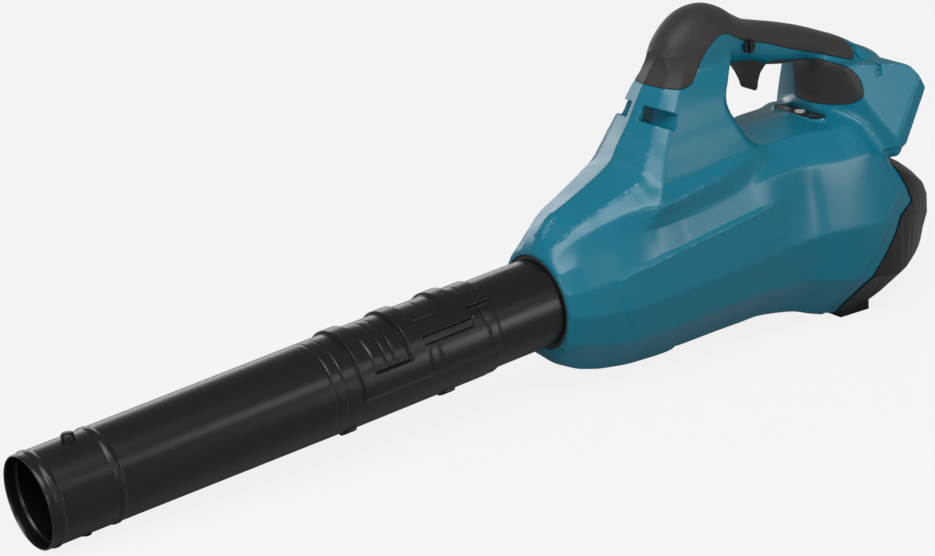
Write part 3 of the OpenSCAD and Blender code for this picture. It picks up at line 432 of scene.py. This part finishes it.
# Barrel and bell as a table of reaches from the middle, from straight up to straight down.
cells_per_degree = 3
corner_blur = 4.0
row_blur = 1.6
body = between(body_rows, 1.0)
body_mid = (body[:, 1] + body[:, 16]) / 2
middle_line = np.zeros((len(body), 1))
corner_side = np.hstack([middle_line, body[:, 2:16:2], middle_line])
corner_height = np.hstack([body[:, 1:2], body[:, 3:16:2], body[:, 16:17]]) - body_mid[:, None]
body_turns = np.radians(np.linspace(90, -90, 180 * cells_per_degree + 1))
body_table = radius_table(corner_side, corner_height, body_turns)

# Shallow steps on it: the flank's raised pad, the face in front of the strut, and the short
# pad over the mouth. The strut's face is the same step, further up.
pad_step = 1.8
face_step = 0.8
nose_step = 1.6
station = body[:, 0][:, None]
height = body_table * np.sin(body_turns)[None] + body_mid[:, None]
side = body_table * np.cos(body_turns)[None]
pad_top = body[:, 9][:, None]
pad_low = body[:, 13][:, None] + 3.0
pad_front = np.interp(height, [-60, -46, -29, 0, 22, 40], [66, 61, 55, 47, 47, 50])
flank_pad = (step_up(station - pad_front, 4.5) * step_up(pad_top - height, 6.0)
             * step_up(height - pad_low, 5.0) * (1 - step_up(station - 208, 50.0)))
front_face = (step_up(body[:, 2][:, None] - side, 1.6) * (height > 20)
              * step_up(station - 12, 6) * (1 - step_up(station - 96, 12)))
nose_pad = (step_up(5.5 - side, 1.6) * (height > 20)
            * step_up(station - 8, 2.0) * (1 - step_up(station - 27, 2.0)))
body_table = blur(blur(body_table, corner_blur, 1), row_blur, 0)
body_table = body_table + blur(pad_step * flank_pad + face_step * front_face, 0.8, 0) + nose_step * nose_pad
body_lean = lean_table(body_table, body_turns)

# Strut as a table of reaches, from straight back to straight forward.
strut = between(strut_rows, 1.0)
strut_front, strut_rear = strut[:, 1], strut[:, 8]
flank_place, flank_half = strut[:, 6], strut[:, 7]
strut_mid = (strut_front + strut_rear) / 2
strut_u = np.column_stack([strut_rear, (flank_place + 3 * strut_rear) / 4, (flank_place + strut_rear) / 2,
                           flank_place, strut[:, 4], strut[:, 2], strut_front]) - strut_mid[:, None]
strut_v = np.column_stack([0 * strut_mid, 0.55 * flank_half, 0.85 * flank_half,
                           flank_half, strut[:, 5], strut[:, 3], 0 * strut_mid])
strut_turns = np.radians(np.linspace(0, 180, 180 * cells_per_degree + 1))
strut_table = radius_table(strut_u, strut_v, strut_turns)
strut_side = strut_table * np.sin(strut_turns)[None]
strut_face = step_up(strut[:, 3][:, None] - strut_side, 1.6) * (np.cos(strut_turns)[None] < 0)
strut_table = blur(blur(strut_table, corner_blur, 1), row_blur, 0) + face_step * strut_face
strut_lean = lean_table(strut_table, strut_turns)
handle = between(handle_rows, 1.0)


def body_form(x, y, z):
    """Distance outside barrel and bell: how far a point lies past the table's reach in its direction."""
    v = z - np.interp(x, body[:, 0], body_mid)
    row, column = x - body[0, 0], (90 - np.degrees(np.arctan2(v, y))) * cells_per_degree
    d = (np.hypot(y, v) - look_up(body_table, row, column)) * look_up(body_lean, row, column)
    return soft_max(d, np.maximum(-x, x - body[-1, 0]), 4)


def strut_form(x, y, z):
    """Distance outside the strut, worked out as for the body, on level cuts."""
    u = x - np.interp(z, strut[:, 0], strut_mid)
    row, column = z - strut[0, 0], np.degrees(np.arctan2(y, u)) * cells_per_degree
    d = (np.hypot(y, u) - look_up(strut_table, row, column)) * look_up(strut_lean, row, column)
    return np.maximum(d, np.maximum(z - strut[-1, 0], strut[0, 0] - z))


def handle_form(x, y, z):
    """Distance outside the handle's ovals: |y / half|^n + |v / half height|^n is 1 on each."""
    half, top, low, power = [np.interp(x, handle[:, 0], handle[:, i]) for i in (1, 2, 3, 4)]
    v = z - (top + low) / 2
    share = (np.abs(y / half) ** power + np.abs(2 * v / (top - low)) ** power) ** (1 / power)
    d = (1 - 1 / np.maximum(share, 0.05)) * np.hypot(y, v) * 0.95
    return np.maximum(d, np.maximum(handle[0, 0] - x, x - handle[-1, 0]))


def leaning(x, z, at_x, at_z, lean):
    """Place behind and height along an axis through a point, which leans back by that many degrees."""
    turn = np.radians(lean)
    u = (x - at_x) * np.cos(turn) - (z - at_z) * np.sin(turn)
    w = (x - at_x) * np.sin(turn) + (z - at_z) * np.cos(turn)
    return u, w


def dock_form(x, y, z):
    """Distance outside the dock: the furthest of its faces, with the edges rounded.

    The front bows backwards at the sides, and the sides spread towards the rear.
    """
    u, w = leaning(x, z, *dock_axis)
    d = soft_max(u, -w, 2)
    for at_x, at_z, back, up, length, edge in dock_faces:
        d = soft_max(d, ((x - at_x) * back + (z - at_z) * up) / length, edge)
    d = soft_max(d, dock_front - x + 0.0042 * y * y, 6)
    d = soft_max(d, y - dock_half, 2)
    return soft_max(d, (y - dock_half - 0.8 * (u + 12)) / 1.28, 1.5)


def outline(points, x, z):
    """Distance outside a flat outline, to its nearest edge.

    It is negative inside, where a ray crosses the outline an odd number of times.
    """
    near, odd = 1e9, False
    for (x0, z0), (x1, z1) in zip(points, np.roll(points, -1, axis=0)):
        square = (x1 - x0) ** 2 + (z1 - z0) ** 2
        share = np.clip(((x - x0) * (x1 - x0) + (z - z0) * (z1 - z0)) / square, 0, 1)
        near = np.minimum(near, np.hypot(x - x0 - share * (x1 - x0), z - z0 - share * (z1 - z0)))
        odd = odd ^ (((z0 > z) != (z1 > z)) & (x < x0 + (z - z0) * (x1 - x0) / (z1 - z0 + 1e-12)))
    return np.where(odd, -near, near)


def rounded(points):
    """Outline with its corners cut to a curve, by taking quarter points twice."""
    for _ in range(2):
        ahead = np.roll(points, -1, axis=0)
        points = np.stack([0.75 * points + 0.25 * ahead, 0.25 * points + 0.75 * ahead], axis=1).reshape(-1, 2)
    return points


grip_edge = rounded(grip_line)
liner_edge = rounded(liner_line)


def hexagon(u, y, grow):
    """Distance outside the key panel's six sides."""
    sides = (np.abs(y) - panel_half_width + panel_side_slope * np.abs(u)) / panel_side_length
    return np.maximum(np.abs(u) - panel_half_length - grow, sides - grow)


def outer_form(x, y, z):
    """The uncut skin of housing and grip."""
    d = soft_min(body_form(x, y, z), strut_form(x, y, z), 9)
    d = soft_min(d, handle_form(x, y, z), 4)
    return soft_min(d, dock_form(x, y, z), 14)


def pocketed(x, y, z):
    """The skin with the strap slot, battery bays, trigger slot, panel seat and the notch behind the grip.

    They are cut before the wall gets its thickness, so each has a wall of its own.
    """
    skin = outer_form(x, y, z)
    u, w = leaning(x, z, *slot_axis)
    slot = soft_max(soft_max(np.abs(w) - slot_half, u - slot_rear, 3), slot_front - u, 1)
    web = np.maximum(np.maximum(web_front - u, u - web_rear), y - web_half)
    d = soft_max(skin, -soft_max(slot, -web, 2), 1.2)
    u, w = leaning(x, z, *dock_axis)
    beside = np.abs(y - bay_middle)
    bay = np.maximum(bay_floor - w, bay_front - u)
    bay = np.maximum(bay, np.minimum(beside - bay_half, np.maximum(beside - groove_half, u - groove_rear)))
    d = soft_max(d, -bay, 1.2)
    d = soft_max(d, -soft_max(outline(trigger_pocket, x, z), y - trigger_half, 2), 1.5)
    u, w = leaning(x, z, *panel_axis)
    d = soft_min(d, np.maximum(np.maximum(hexagon(u, y, panel_rim), w), -w - rim_height), 2)
    d = soft_max(d, -np.maximum(hexagon(u, y, clearance), np.abs(w - seat_middle) - seat_half), 0.6)
    notch = np.maximum(np.abs(x - notch_x - notch_slope * (z - notch_z)) - notch_half, notch_low - z)
    return soft_max(d, -np.maximum(notch, -skin - notch_depth), 1.5)


def housing_form(x, y, z, reach=99):
    """Moulded shell of one half: a wall under the pocketed skin, cut where another piece takes over.

    It steps in by a rebate near the rear cover, and is bored for the pipe at the mouth. The
    loop's liner covers it as far as reach from the middle.
    """
    rear = outline(cover_line, x, z)
    d = pocketed(x, y, z) + rebate_depth * (1 - step_up(rear - rebate_width, 4))
    cut = soft_max(d, clearance - rear, 0.8)
    cut = soft_max(cut, clearance - outline(grip_edge, x, z), 0.8)
    cut = soft_max(cut, clearance - np.maximum(outline(liner_edge, x, z), y - reach), 0.6)
    cut = soft_max(cut, parting - y, 0.7)
    cut = np.maximum(cut, -np.maximum(np.hypot(y, z) - mouth_bore, x - mouth_depth))
    return np.maximum(cut, -(d + wall))


def left_form(x, y, z):
    """The left half, whose y is negative."""
    return housing_form(x, -y, z)


def right_form(x, y, z):
    """The right half: the left one mirrored, with the wells of the case screws."""
    d = housing_form(x, y, z, liner_reach)
    for at_x, at_z in screw_at:
        d = np.maximum(d, screw_well - np.hypot(x - at_x, z - at_z))
    return d


def slopes(form, points, reach):
    """Slope of a form at each point along each axis, from its values at that reach to both sides."""
    return np.column_stack([(form(*(points + way).T) - form(*(points - way).T)) / (2 * reach)
                            for way in reach * np.eye(3)])


def crossings(form, low, high, step):
    """Where a grid's edges pass the skin: a point on each, its four cells, and these as a face."""
    axes = [np.arange(l, h + step, step) for l, h in zip(low, high)]
    value = form(axes[0][:, None, None], axes[1][None, :, None], axes[2][None, None, :])
    inside = value < 0
    shape = np.array(inside.shape) - 1
    points, cells, quads = [], [], []
    for axis in range(3):
        a = np.take(inside, range(shape[axis]), axis)
        b = np.take(inside, range(1, shape[axis] + 1), axis)
        at = np.argwhere(a != b)
        others = [i for i in range(3) if i != axis]
        at = at[np.all((at[:, others] > 0) & (at[:, others] < shape[others]), axis=1)]
        end = at.copy()
        end[:, axis] += 1
        v0, v1 = value[tuple(at.T)], value[tuple(end.T)]
        p = np.column_stack([axes[i][at[:, i]] for i in range(3)]).astype(float)
        p[:, axis] += step * v0 / (v0 - v1)
        around = []
        for du, dv in ((0, 0), (1, 0), (1, 1), (0, 1)):
            cell = at.copy()
            cell[:, others[0]] -= du
            cell[:, others[1]] -= dv
            around.append(np.ravel_multi_index(cell.T, shape))
        around = np.column_stack(around)
        flip = (v0 < 0) == (axis == 1)
        points.append(p)
        cells.append(around)
        quads.append(np.where(flip[:, None], around, around[:, ::-1]))
    return np.vstack(points), np.vstack(cells), np.vstack(quads)


def settled(form, points, step):
    """The points moved onto the skin along its slope, in two goes, and the skin's normal at each."""
    for _ in range(2):
        slope = slopes(form, points, 0.05)
        length = np.maximum(np.linalg.norm(slope, axis=1, keepdims=True), 0.3)
        off = np.clip(form(*points.T)[:, None] / length, -0.4 * step, 0.4 * step)
        points = points - off * slope / length
    return points, slope / length


def corner_normals(form, found, quads):
    """Shading at each face's corners: the form's own slope, or the face's own normal where the two part."""
    slope = slopes(form, found, 0.4)
    slope /= np.maximum(np.linalg.norm(slope, axis=1, keepdims=True), 1e-6)
    across = found[quads[:, 2]] - found[quads[:, 0]]
    flat = np.cross(across, found[quads[:, 3]] - found[quads[:, 1]])
    flat /= np.maximum(np.linalg.norm(flat, axis=1, keepdims=True), 1e-9)
    corner = slope[quads]
    near = np.einsum("nij,nj->ni", corner, flat) > 0.8
    return np.where(near[:, :, None], corner, flat[:, None, :]).reshape(-1, 3)


def sculpt(form, low, high, step):
    """Points, four-sided faces and corner normals of the skin where a form is zero.

    Each cell of a grid that the skin passes gets one point, which lies as nearly as it can on
    all the tangent planes found on the cell's edges, so sharp edges stay sharp.
    """
    points, cells, quads = crossings(form, low, high, step)
    points, normal = settled(form, points, step)
    names, cell_of = np.unique(cells, return_inverse=True)
    cell_of = cell_of.reshape(cells.shape)

    def gather(values):
        """Sum of the values over the points on each cell's edges."""
        return sum(np.bincount(cell_of[:, i], values, len(names)) for i in range(4))

    count = np.bincount(cell_of.ravel(), minlength=len(names))
    middle = np.column_stack([gather(points[:, i]) for i in range(3)]) / count[:, None]
    planes = np.empty((len(names), 3, 3))
    for i in range(3):
        for j in range(3):
            planes[:, i, j] = gather(normal[:, i] * normal[:, j])
    depth = np.einsum("ij,ij->i", normal, points)
    target = np.column_stack([gather(normal[:, i] * depth) for i in range(3)])
    pull = planes + 0.06 * np.eye(3)
    miss = target - np.einsum("nij,nj->ni", planes, middle)
    move = np.linalg.solve(pull, miss[:, :, None])[:, :, 0]
    found = middle + np.clip(move, -0.75 * step, 0.75 * step)
    quads = np.searchsorted(names, quads)
    return found, quads, corner_normals(form, found, quads)


def add_skin(name, form, low, high, step, material, stands_for):
    """Makes a piece from a form, in a box in millimetres. Its shading follows the form itself."""
    found, quads, corner = sculpt(form, low, high, step)
    piece = mesh_object(name, (found + [mouth, 0, 0]) * mm, quads, material)
    piece.data.polygons.foreach_set("use_smooth", np.ones(len(quads), bool))
    piece.data.normals_split_custom_set(corner)
    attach(piece, "housing")
    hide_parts(stands_for)


add_skin("housing_left_skin", left_form, (-6, -84, -110), (385, 1, 212), 1.8, teal_abs, "housing_left")
add_skin("housing_right_skin", right_form, (-6, -1, -110), (385, 84, 212), 1.8, teal_abs, "housing_right")

# ---- Nozzle and outlet pipe ------------------------------------------------------------
# Black glass-filled nylon tubes, polished in the mould. The long one turns and slides on
# the short one, which sits in the housing's mouth against a felt ring.


def dress(material, *names):
    """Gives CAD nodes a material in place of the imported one."""
    for name in names:
        nodes[name].data.materials.clear()
        nodes[name].data.materials.append(material)


# Nearly glossy nylon, which shows long soft streaks along the tube.
black_nylon = moulded("black_polished_nylon", "0f1012", "131416", 0.3, 1.4, 0.004, ior=1.53)
dress(black_nylon, "outlet_pipe", "cruise_lever")

# Outer radius along the tube, by millimetres from its open end: rim, end bead, second bead
# and a slow taper outwards.
profile_x = [0, 0.8, 6, 7, 8, 10, 11, 12, 58, 59.2, 60, 62.5, 63.3, 64.5, 272, 421, 422]
profile_r = [37.9, 38.5, 38.6, 38.9, 39.6, 39.6, 39.0, 38.6, 38.8, 39.2, 39.8, 39.8, 39.3, 38.9, 40.2,
             40.2, 39.4]
bore_x = [0, 1, 9, 11, 262, 266, 422]
bore_r = [37.3, 36.7, 36.7, 35.8, 37.4, 38.5, 38.5]
thinnest = 0.7
mm_per_degree = 0.724

# How far the places planned below stand out of the tube or are sunk into it.
sleeve_proud = 2.5
lower_proud = 1.6
far_proud = 2.0
lug_proud = 2.4
trench_depth = 0.8
pocket_depth = 1.1
slit_depth = 0.7
groove_depth = 0.35

# Plans of the raised and sunk places, as millimetres along the tube and degrees round from
# its left side: the upper sleeve with its windows, the lower sleeve, two pockets, and the
# sleeve on the far side.
sleeve_plan = np.array([
    [283, -12], [283, 138], [297, 138], [297, 17.5], [333.3, 17.5], [333.3, 138], [347.4, 138],
    [347.4, 60], [382, 60], [382, 138], [396, 138], [396, 86], [400, 73], [416, 70.5], [421, 70.5],
    [421, 50.7], [398, 50.7], [398, 37.5], [348.2, 37.5], [348.2, -12]
], float)
lower_plan = np.array([[347, -12], [347, 27], [397, 27], [399.5, 41.5], [421, 41.5], [421, -12]], float)
low_pocket = np.array([[349, 27.8], [349, 36.7], [397.2, 36.7], [397.2, 27.8]], float)
rear_pocket = np.array([[398.8, 42.3], [398.8, 49.9], [424, 49.9], [424, 42.3]], float)
far_plan = np.array([[283, -190], [283, -75], [421, -75], [421, -190]], float)

# Fine grooves round the tube, each with the turns where it begins and ends.
band_grooves = [(258, -40, 130), (268, -40, 130)]
sleeve_grooves = [(310.5, 19, 130), (318.7, 19, 130), (359, -6, 26), (409, -6, 40), (419.7, -60, 40),
                  (364, 62, 130), (405, 72, 130)]

# Two lugs under the tube, and the bayonet channels, which run back through the bore from
# channel_front.
lug_at = [276, 374]
lug_turn = -64
lug_half = 5
lug_half_round = 7
channel_front = 285.5
channel_depth = 2.5


def nozzle_radius(x, turn):
    """Outer radius of the long nozzle at x millimetres from its open end and turn degrees round.

    The profile's radius, plus each raised plan's height, less each pocket's and groove's depth.
    """
    round_mm = turn * mm_per_degree

    def off(plan):
        """Millimetres outside a plan."""
        return outline(plan * [1, mm_per_degree], x, round_mm)

    r = np.interp(x, profile_x, profile_r)
    fade = step_up(turn + 8, 10)
    high = off(sleeve_plan)
    r = r + sleeve_proud * fade * (1 - step_up(high, 1.0))
    r = r + lower_proud * fade * (1 - step_up(off(lower_plan), 1.0)) * step_up(high, 1.0)
    r = r + far_proud * (1 - step_up(off(far_plan), 3.0))
    trench = np.clip(1 - np.abs(high - 1.1) / 0.8, 0, 1) * fade * (x < 340) * (turn > 14)
    r = r - trench_depth * trench
    r = r - pocket_depth * (1 - step_up(np.minimum(off(low_pocket), off(rear_pocket)), 0.8))
    r = r - slit_depth * np.clip(1.5 - np.abs(x - 348.6) / 0.6, 0, 1) * (turn > -4) * (turn < 28)
    for at, begin, end in band_grooves + sleeve_grooves:
        r = r - groove_depth * np.clip(1.4 - np.abs(x - at) / 0.5, 0, 1) * (turn > begin) * (turn < end)
    for at in lug_at:
        off_round = np.abs(turn - lug_turn) * mm_per_degree - lug_half_round
        r = r + lug_proud * (1 - step_up(np.maximum(np.abs(x - at) - lug_half, off_round), 1.0))
    return r


def spread(places, *offsets):
    """Every place moved by every offset."""
    return [at + offset for at in places for offset in offsets]


def thinned(values, least):
    """Values in order to two decimals, less those that lie closer than least behind the one before."""
    values = np.unique(np.round(values, 2))
    return values[np.concatenate([[True], np.diff(values) > least])]


def ring_faces(rings, across, closed):
    """Four-sided faces between neighbouring rings of points, and from the last to the first if closed."""
    ring, at = np.meshgrid(np.arange(rings if closed else rings - 1), np.arange(across), indexing="ij")
    ahead, beside = (ring + 1) % rings, (at + 1) % across
    return np.stack([ring * across + at, ring * across + beside,
                     ahead * across + beside, ahead * across + at], -1).reshape(-1, 4).tolist()


def long_nozzle():
    """The long nozzle as one turned surface: rings of points along its outside, then back inside its bore."""
    edge = [-2, -1.5, -1.1, -0.7, -0.35, 0, 0.35, 0.7, 1.1, 1.9]
    plan_ends = [283, 297, 333.3, 347.4, 382, 396, 398] + spread(lug_at, -lug_half, lug_half)
    plan_turns = [17.5, 27, 37.5, 41.5, 50.7, 60, 70.5, -57, -70]
    along = ([0, 0.8, 3, 5, 6, 6.5, 7, 7.5, 8, 8.6, 9.4, 10, 10.5, 11, 11.5, 12, 13, 57, 58, 58.6, 59.2, 59.6,
              60, 60.6, 61.9, 62.5, 62.9, 63.3, 63.9, 64.5, 66, 422]
             + spread([at for at, _, _ in band_grooves], -0.7, -0.3, 0, 0.3, 0.7)
             + spread([at for at, _, _ in sleeve_grooves], -0.5, 0, 0.5)
             + spread(plan_ends, *edge) + list(np.arange(255, 420, 2.2)) + list(np.arange(16, 255, 12)))
    around = spread(plan_turns, *(np.array(edge) / mm_per_degree)) + list(np.arange(-180, 180, 3.0))
    xs, ts = np.meshgrid(thinned(along, 0.12), thinned(around, 0.15), indexing="ij")
    outer = nozzle_radius(xs, ts)
    in_channel = np.maximum(step_up(ts - 2, 1) * step_up(17 - ts, 1),
                            step_up(ts + 178, 1) * step_up(-163 - ts, 1))
    bore = np.interp(xs, bore_x, bore_r) + channel_depth * (step_up(xs - channel_front, 1) * in_channel)
    bore = np.minimum(bore, outer - thinnest)
    turn = np.radians(ts)
    points = np.concatenate([np.stack([x, -radius * np.cos(turn), radius * np.sin(turn)], -1)
                             for x, radius in ((xs, outer), (xs[::-1], bore[::-1]))])
    rings, across = points.shape[:2]
    return points.reshape(-1, 3), ring_faces(rings, across, True)


def tip_peg(way):
    """A round peg with a domed end on the nozzle's tip, above the tube (way 1) or under it (way -1)."""
    peg_x = 42
    radius, height = np.array([(5.4, 37.2), (5.4, 41.9), (4.8, 43.2), (3.4, 43.8)]).T[:, :, None]
    turn = np.radians(np.arange(0, 360, 15.0))
    points = np.stack(np.broadcast_arrays(peg_x + way * radius * np.cos(turn), radius * np.sin(turn),
                                          way * height), -1)
    rings, across = points.shape[:2]
    foot, crown = list(range(across))[::-1], list(range((rings - 1) * across, rings * across))
    return points.reshape(-1, 3), ring_faces(rings, across, False) + [foot, crown]


nozzle_points, nozzle_faces = long_nozzle()
for way in (1, -1):
    peg_points, peg_faces = tip_peg(way)
    nozzle_faces += [[corner + len(nozzle_points) for corner in face] for face in peg_faces]
    nozzle_points = np.concatenate([nozzle_points, peg_points])
nozzle = mesh_object("long_nozzle_tube", nozzle_points * mm, nozzle_faces, black_nylon)
nozzle.data.polygons.foreach_set("use_smooth", np.ones(len(nozzle_faces), bool))
nozzle.data.set_sharp_from_angle(angle=np.radians(50))
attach(nozzle, "nozzle")
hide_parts("long_nozzle")

# Pressed wool felt: quite dull, with a pale fuzz at grazing angles.
felt = moulded("dark_felt", "1a1a1b", "202021", 0.9, 0.5, 0.15, sheen=0.3)
dress(felt, "pipe_seal")

# ---- Grips -----------------------------------------------------------------------------
# Thermoplastic rubber overmoulded on the handle: dark warm grey, soft to the touch, with
# a fine matt grain that gives broad dull highlights.
grip_rubber = moulded("soft_grip_rubber", "353232", "2d2b2b", 0.55, 0.6, 0.05, sheen=0.15)
grip_proud = 0.3
grip_thick = 3.5
grip_gap = 0.12


def soft_shell(x, y, z, zone):
    """A soft skin over the moulding, a little proud of it, where zone is below zero."""
    d = outer_form(x, np.abs(y), z) - grip_proud
    return np.maximum(soft_max(d, zone + grip_gap, 1.6), -d - grip_thick)


def grip_form(x, y, z):
    """The grip on top of the handle and down the front strut."""
    return soft_shell(x, y, z, outline(grip_edge, x, z))


def liner_form(x, y, z):
    """The pad on the loop's rear wall and under the handle's rear. On the right it ends at liner_reach."""
    return soft_shell(x, y, z, np.maximum(outline(liner_edge, x, z), y - liner_reach))


add_skin("grip_top_rubber", grip_form, (115, -32, 118), (356, 32, 212), 1.5, grip_rubber, "grip_top")
add_skin("grip_rear_rubber", liner_form, (250, -62, 78), (340, liner_reach + 2, 148), 1.5, grip_rubber,
         "grip_rear")

# ---- Trigger, switch and controls --------------------------------------------------------
# Black nylon trigger on a steel pin, with its spring and switch inside the handle, and a
# cruise knob beside it. The key panel is a dark label on a board, with one white key.


def metal(name, tint, roughness, streak_mm, axis):
    """A bare metal with fine marks: noise at that pitch in millimetres, drawn out along one axis."""
    material, output = blank(name)
    where = add(material, "ShaderNodeTexCoord")
    squeeze = [1000.0 / streak_mm] * 3
    squeeze[axis] *= 0.04
    stretched = add(material, "ShaderNodeMapping", {"Scale": squeeze}, {"Vector": (where, "Object")})
    marks = add(material, "ShaderNodeTexNoise", {"Scale": 1.0, "Detail": 3.0}, {"Vector": (stretched, 0)})
    gloss = add(material, "ShaderNodeMapRange", {"To Min": roughness - 0.08, "To Max": roughness + 0.08},
                {"Value": (marks, "Fac")})
    bump = add(material, "ShaderNodeBump", {"Strength": 0.2, "Distance": 0.0001}, {"Height": (marks, "Fac")})
    skin = add(material, "ShaderNodeBsdfPrincipled", {"Base Color": linear(tint), "Metallic": 1.0},
               {"Roughness": (gloss, 0), "Normal": (bump, 0)})
    material.node_tree.links.new(skin.outputs[0], output.inputs["Surface"])
    return material


# Satin nylon, a printed polyester label, a glossy white key, green board and smoked lenses.
trigger_nylon = moulded("black_satin_nylon", "111112", "161617", 0.4, 0.5, 0.03, ior=1.53)
dress(trigger_nylon, "trigger", "switch_body")
panel_film = moulded("dark_key_panel", "1f1c1a", "262220", 0.38, 0.4, 0.02)
dress(panel_film, "control_panel")
white_key = moulded("white_key_polycarbonate", "eceeee", "e2e5e5", 0.3, 0.8, 0.01, ior=1.585)
dress(white_key, "power_button")
circuit_board = moulded("glass_epoxy_board", "1d5a34", "17502d", 0.45, 0.3, 0.02, ior=1.55)
dress(circuit_board, "panel_board")
lens_acrylic = moulded("smoked_lens_acrylic", "3a4448", "40494c", 0.12, 0.9, 0.0, ior=1.49)
dress(lens_acrylic, "lens_left", "lens_right")

# Drawn steel, bright with marks along the draw.
spring_steel = metal("drawn_spring_steel", "b4b5b6", 0.3, 0.3, 0)
dress(spring_steel, "trigger_pin", "trigger_spring", "blades_left", "blades_right")

# ---- Battery terminals and controller -----------------------------------------------------
# Terminal blocks of black polyester hold plated blades at the back of each bay. The
# controller is a finned aluminium tray filled with resin, grey and dull from the casting.
terminal_pbt = moulded("black_terminal_pbt", "161617", "1c1c1d", 0.48, 0.4, 0.03, ior=1.57)
dress(terminal_pbt, "terminal_left", "terminal_right")
cast_aluminium = metal("cast_aluminium", "a3a5a6", 0.45, 0.5, 1)
dress(cast_aluminium, "controller", "motor_plates")

# ---- Intake cover and mesh ---------------------------------------------------------------
# The louvred cover closes the rear of the fan bell, moulded in black nylon with a dull
# skin. The guard in front of the fan keeps leaves out, and is of the same nylon as both ducts.
cover_nylon = moulded("dull_black_nylon", "121213", "171718", 0.33, 0.9, 0.02, ior=1.53)
dress(cover_nylon, "intake_cover")
guard_nylon = moulded("guard_nylon", "101011", "151516", 0.5, 0.6, 0.03, ior=1.53)
dress(guard_nylon, "intake_mesh", "fan_duct", "air_duct")

# ---- Fan and motor -------------------------------------------------------------------------
# Axial fan moulded in grey nylon on a ground steel shaft, driven by a brushless motor in
# the duct's hub, all carried on rubber rings that keep its hum from the handle.
# Satin grey nylon, matt rubber, and steel that shows its grinding marks or its laminations.
fan_nylon = moulded("grey_fan_nylon", "4a4d50", "43464a", 0.4, 0.6, 0.03, ior=1.53)
dress(fan_nylon, "impeller")
ring_rubber = moulded("isolator_rubber", "1d1c1c", "242323", 0.7, 0.5, 0.04)
dress(ring_rubber, "isolator_front", "isolator_rear")
ground_steel = metal("ground_steel", "c2c3c5", 0.25, 0.2, 0)
dress(ground_steel, "motor_shaft", "bearing_front", "bearing_rear")
core_steel = metal("laminated_core_steel", "6f7174", 0.5, 0.5, 1)
dress(core_steel, "motor_rotor", "motor_stator")

# ---- Case screws ---------------------------------------------------------------------------
# Six steel screws with a black oxide finish hold the halves together, in wells in the right
# half.
dark_screw = metal("black_oxide_steel", "2a2a2c", 0.4, 0.2, 1)
dress(dark_screw, "case_screws")

# ---- Last update ---------------------------------------------------------------------------
# Brings the pieces' places and boxes up to date at the end.
bpy.context.view_layer.update()
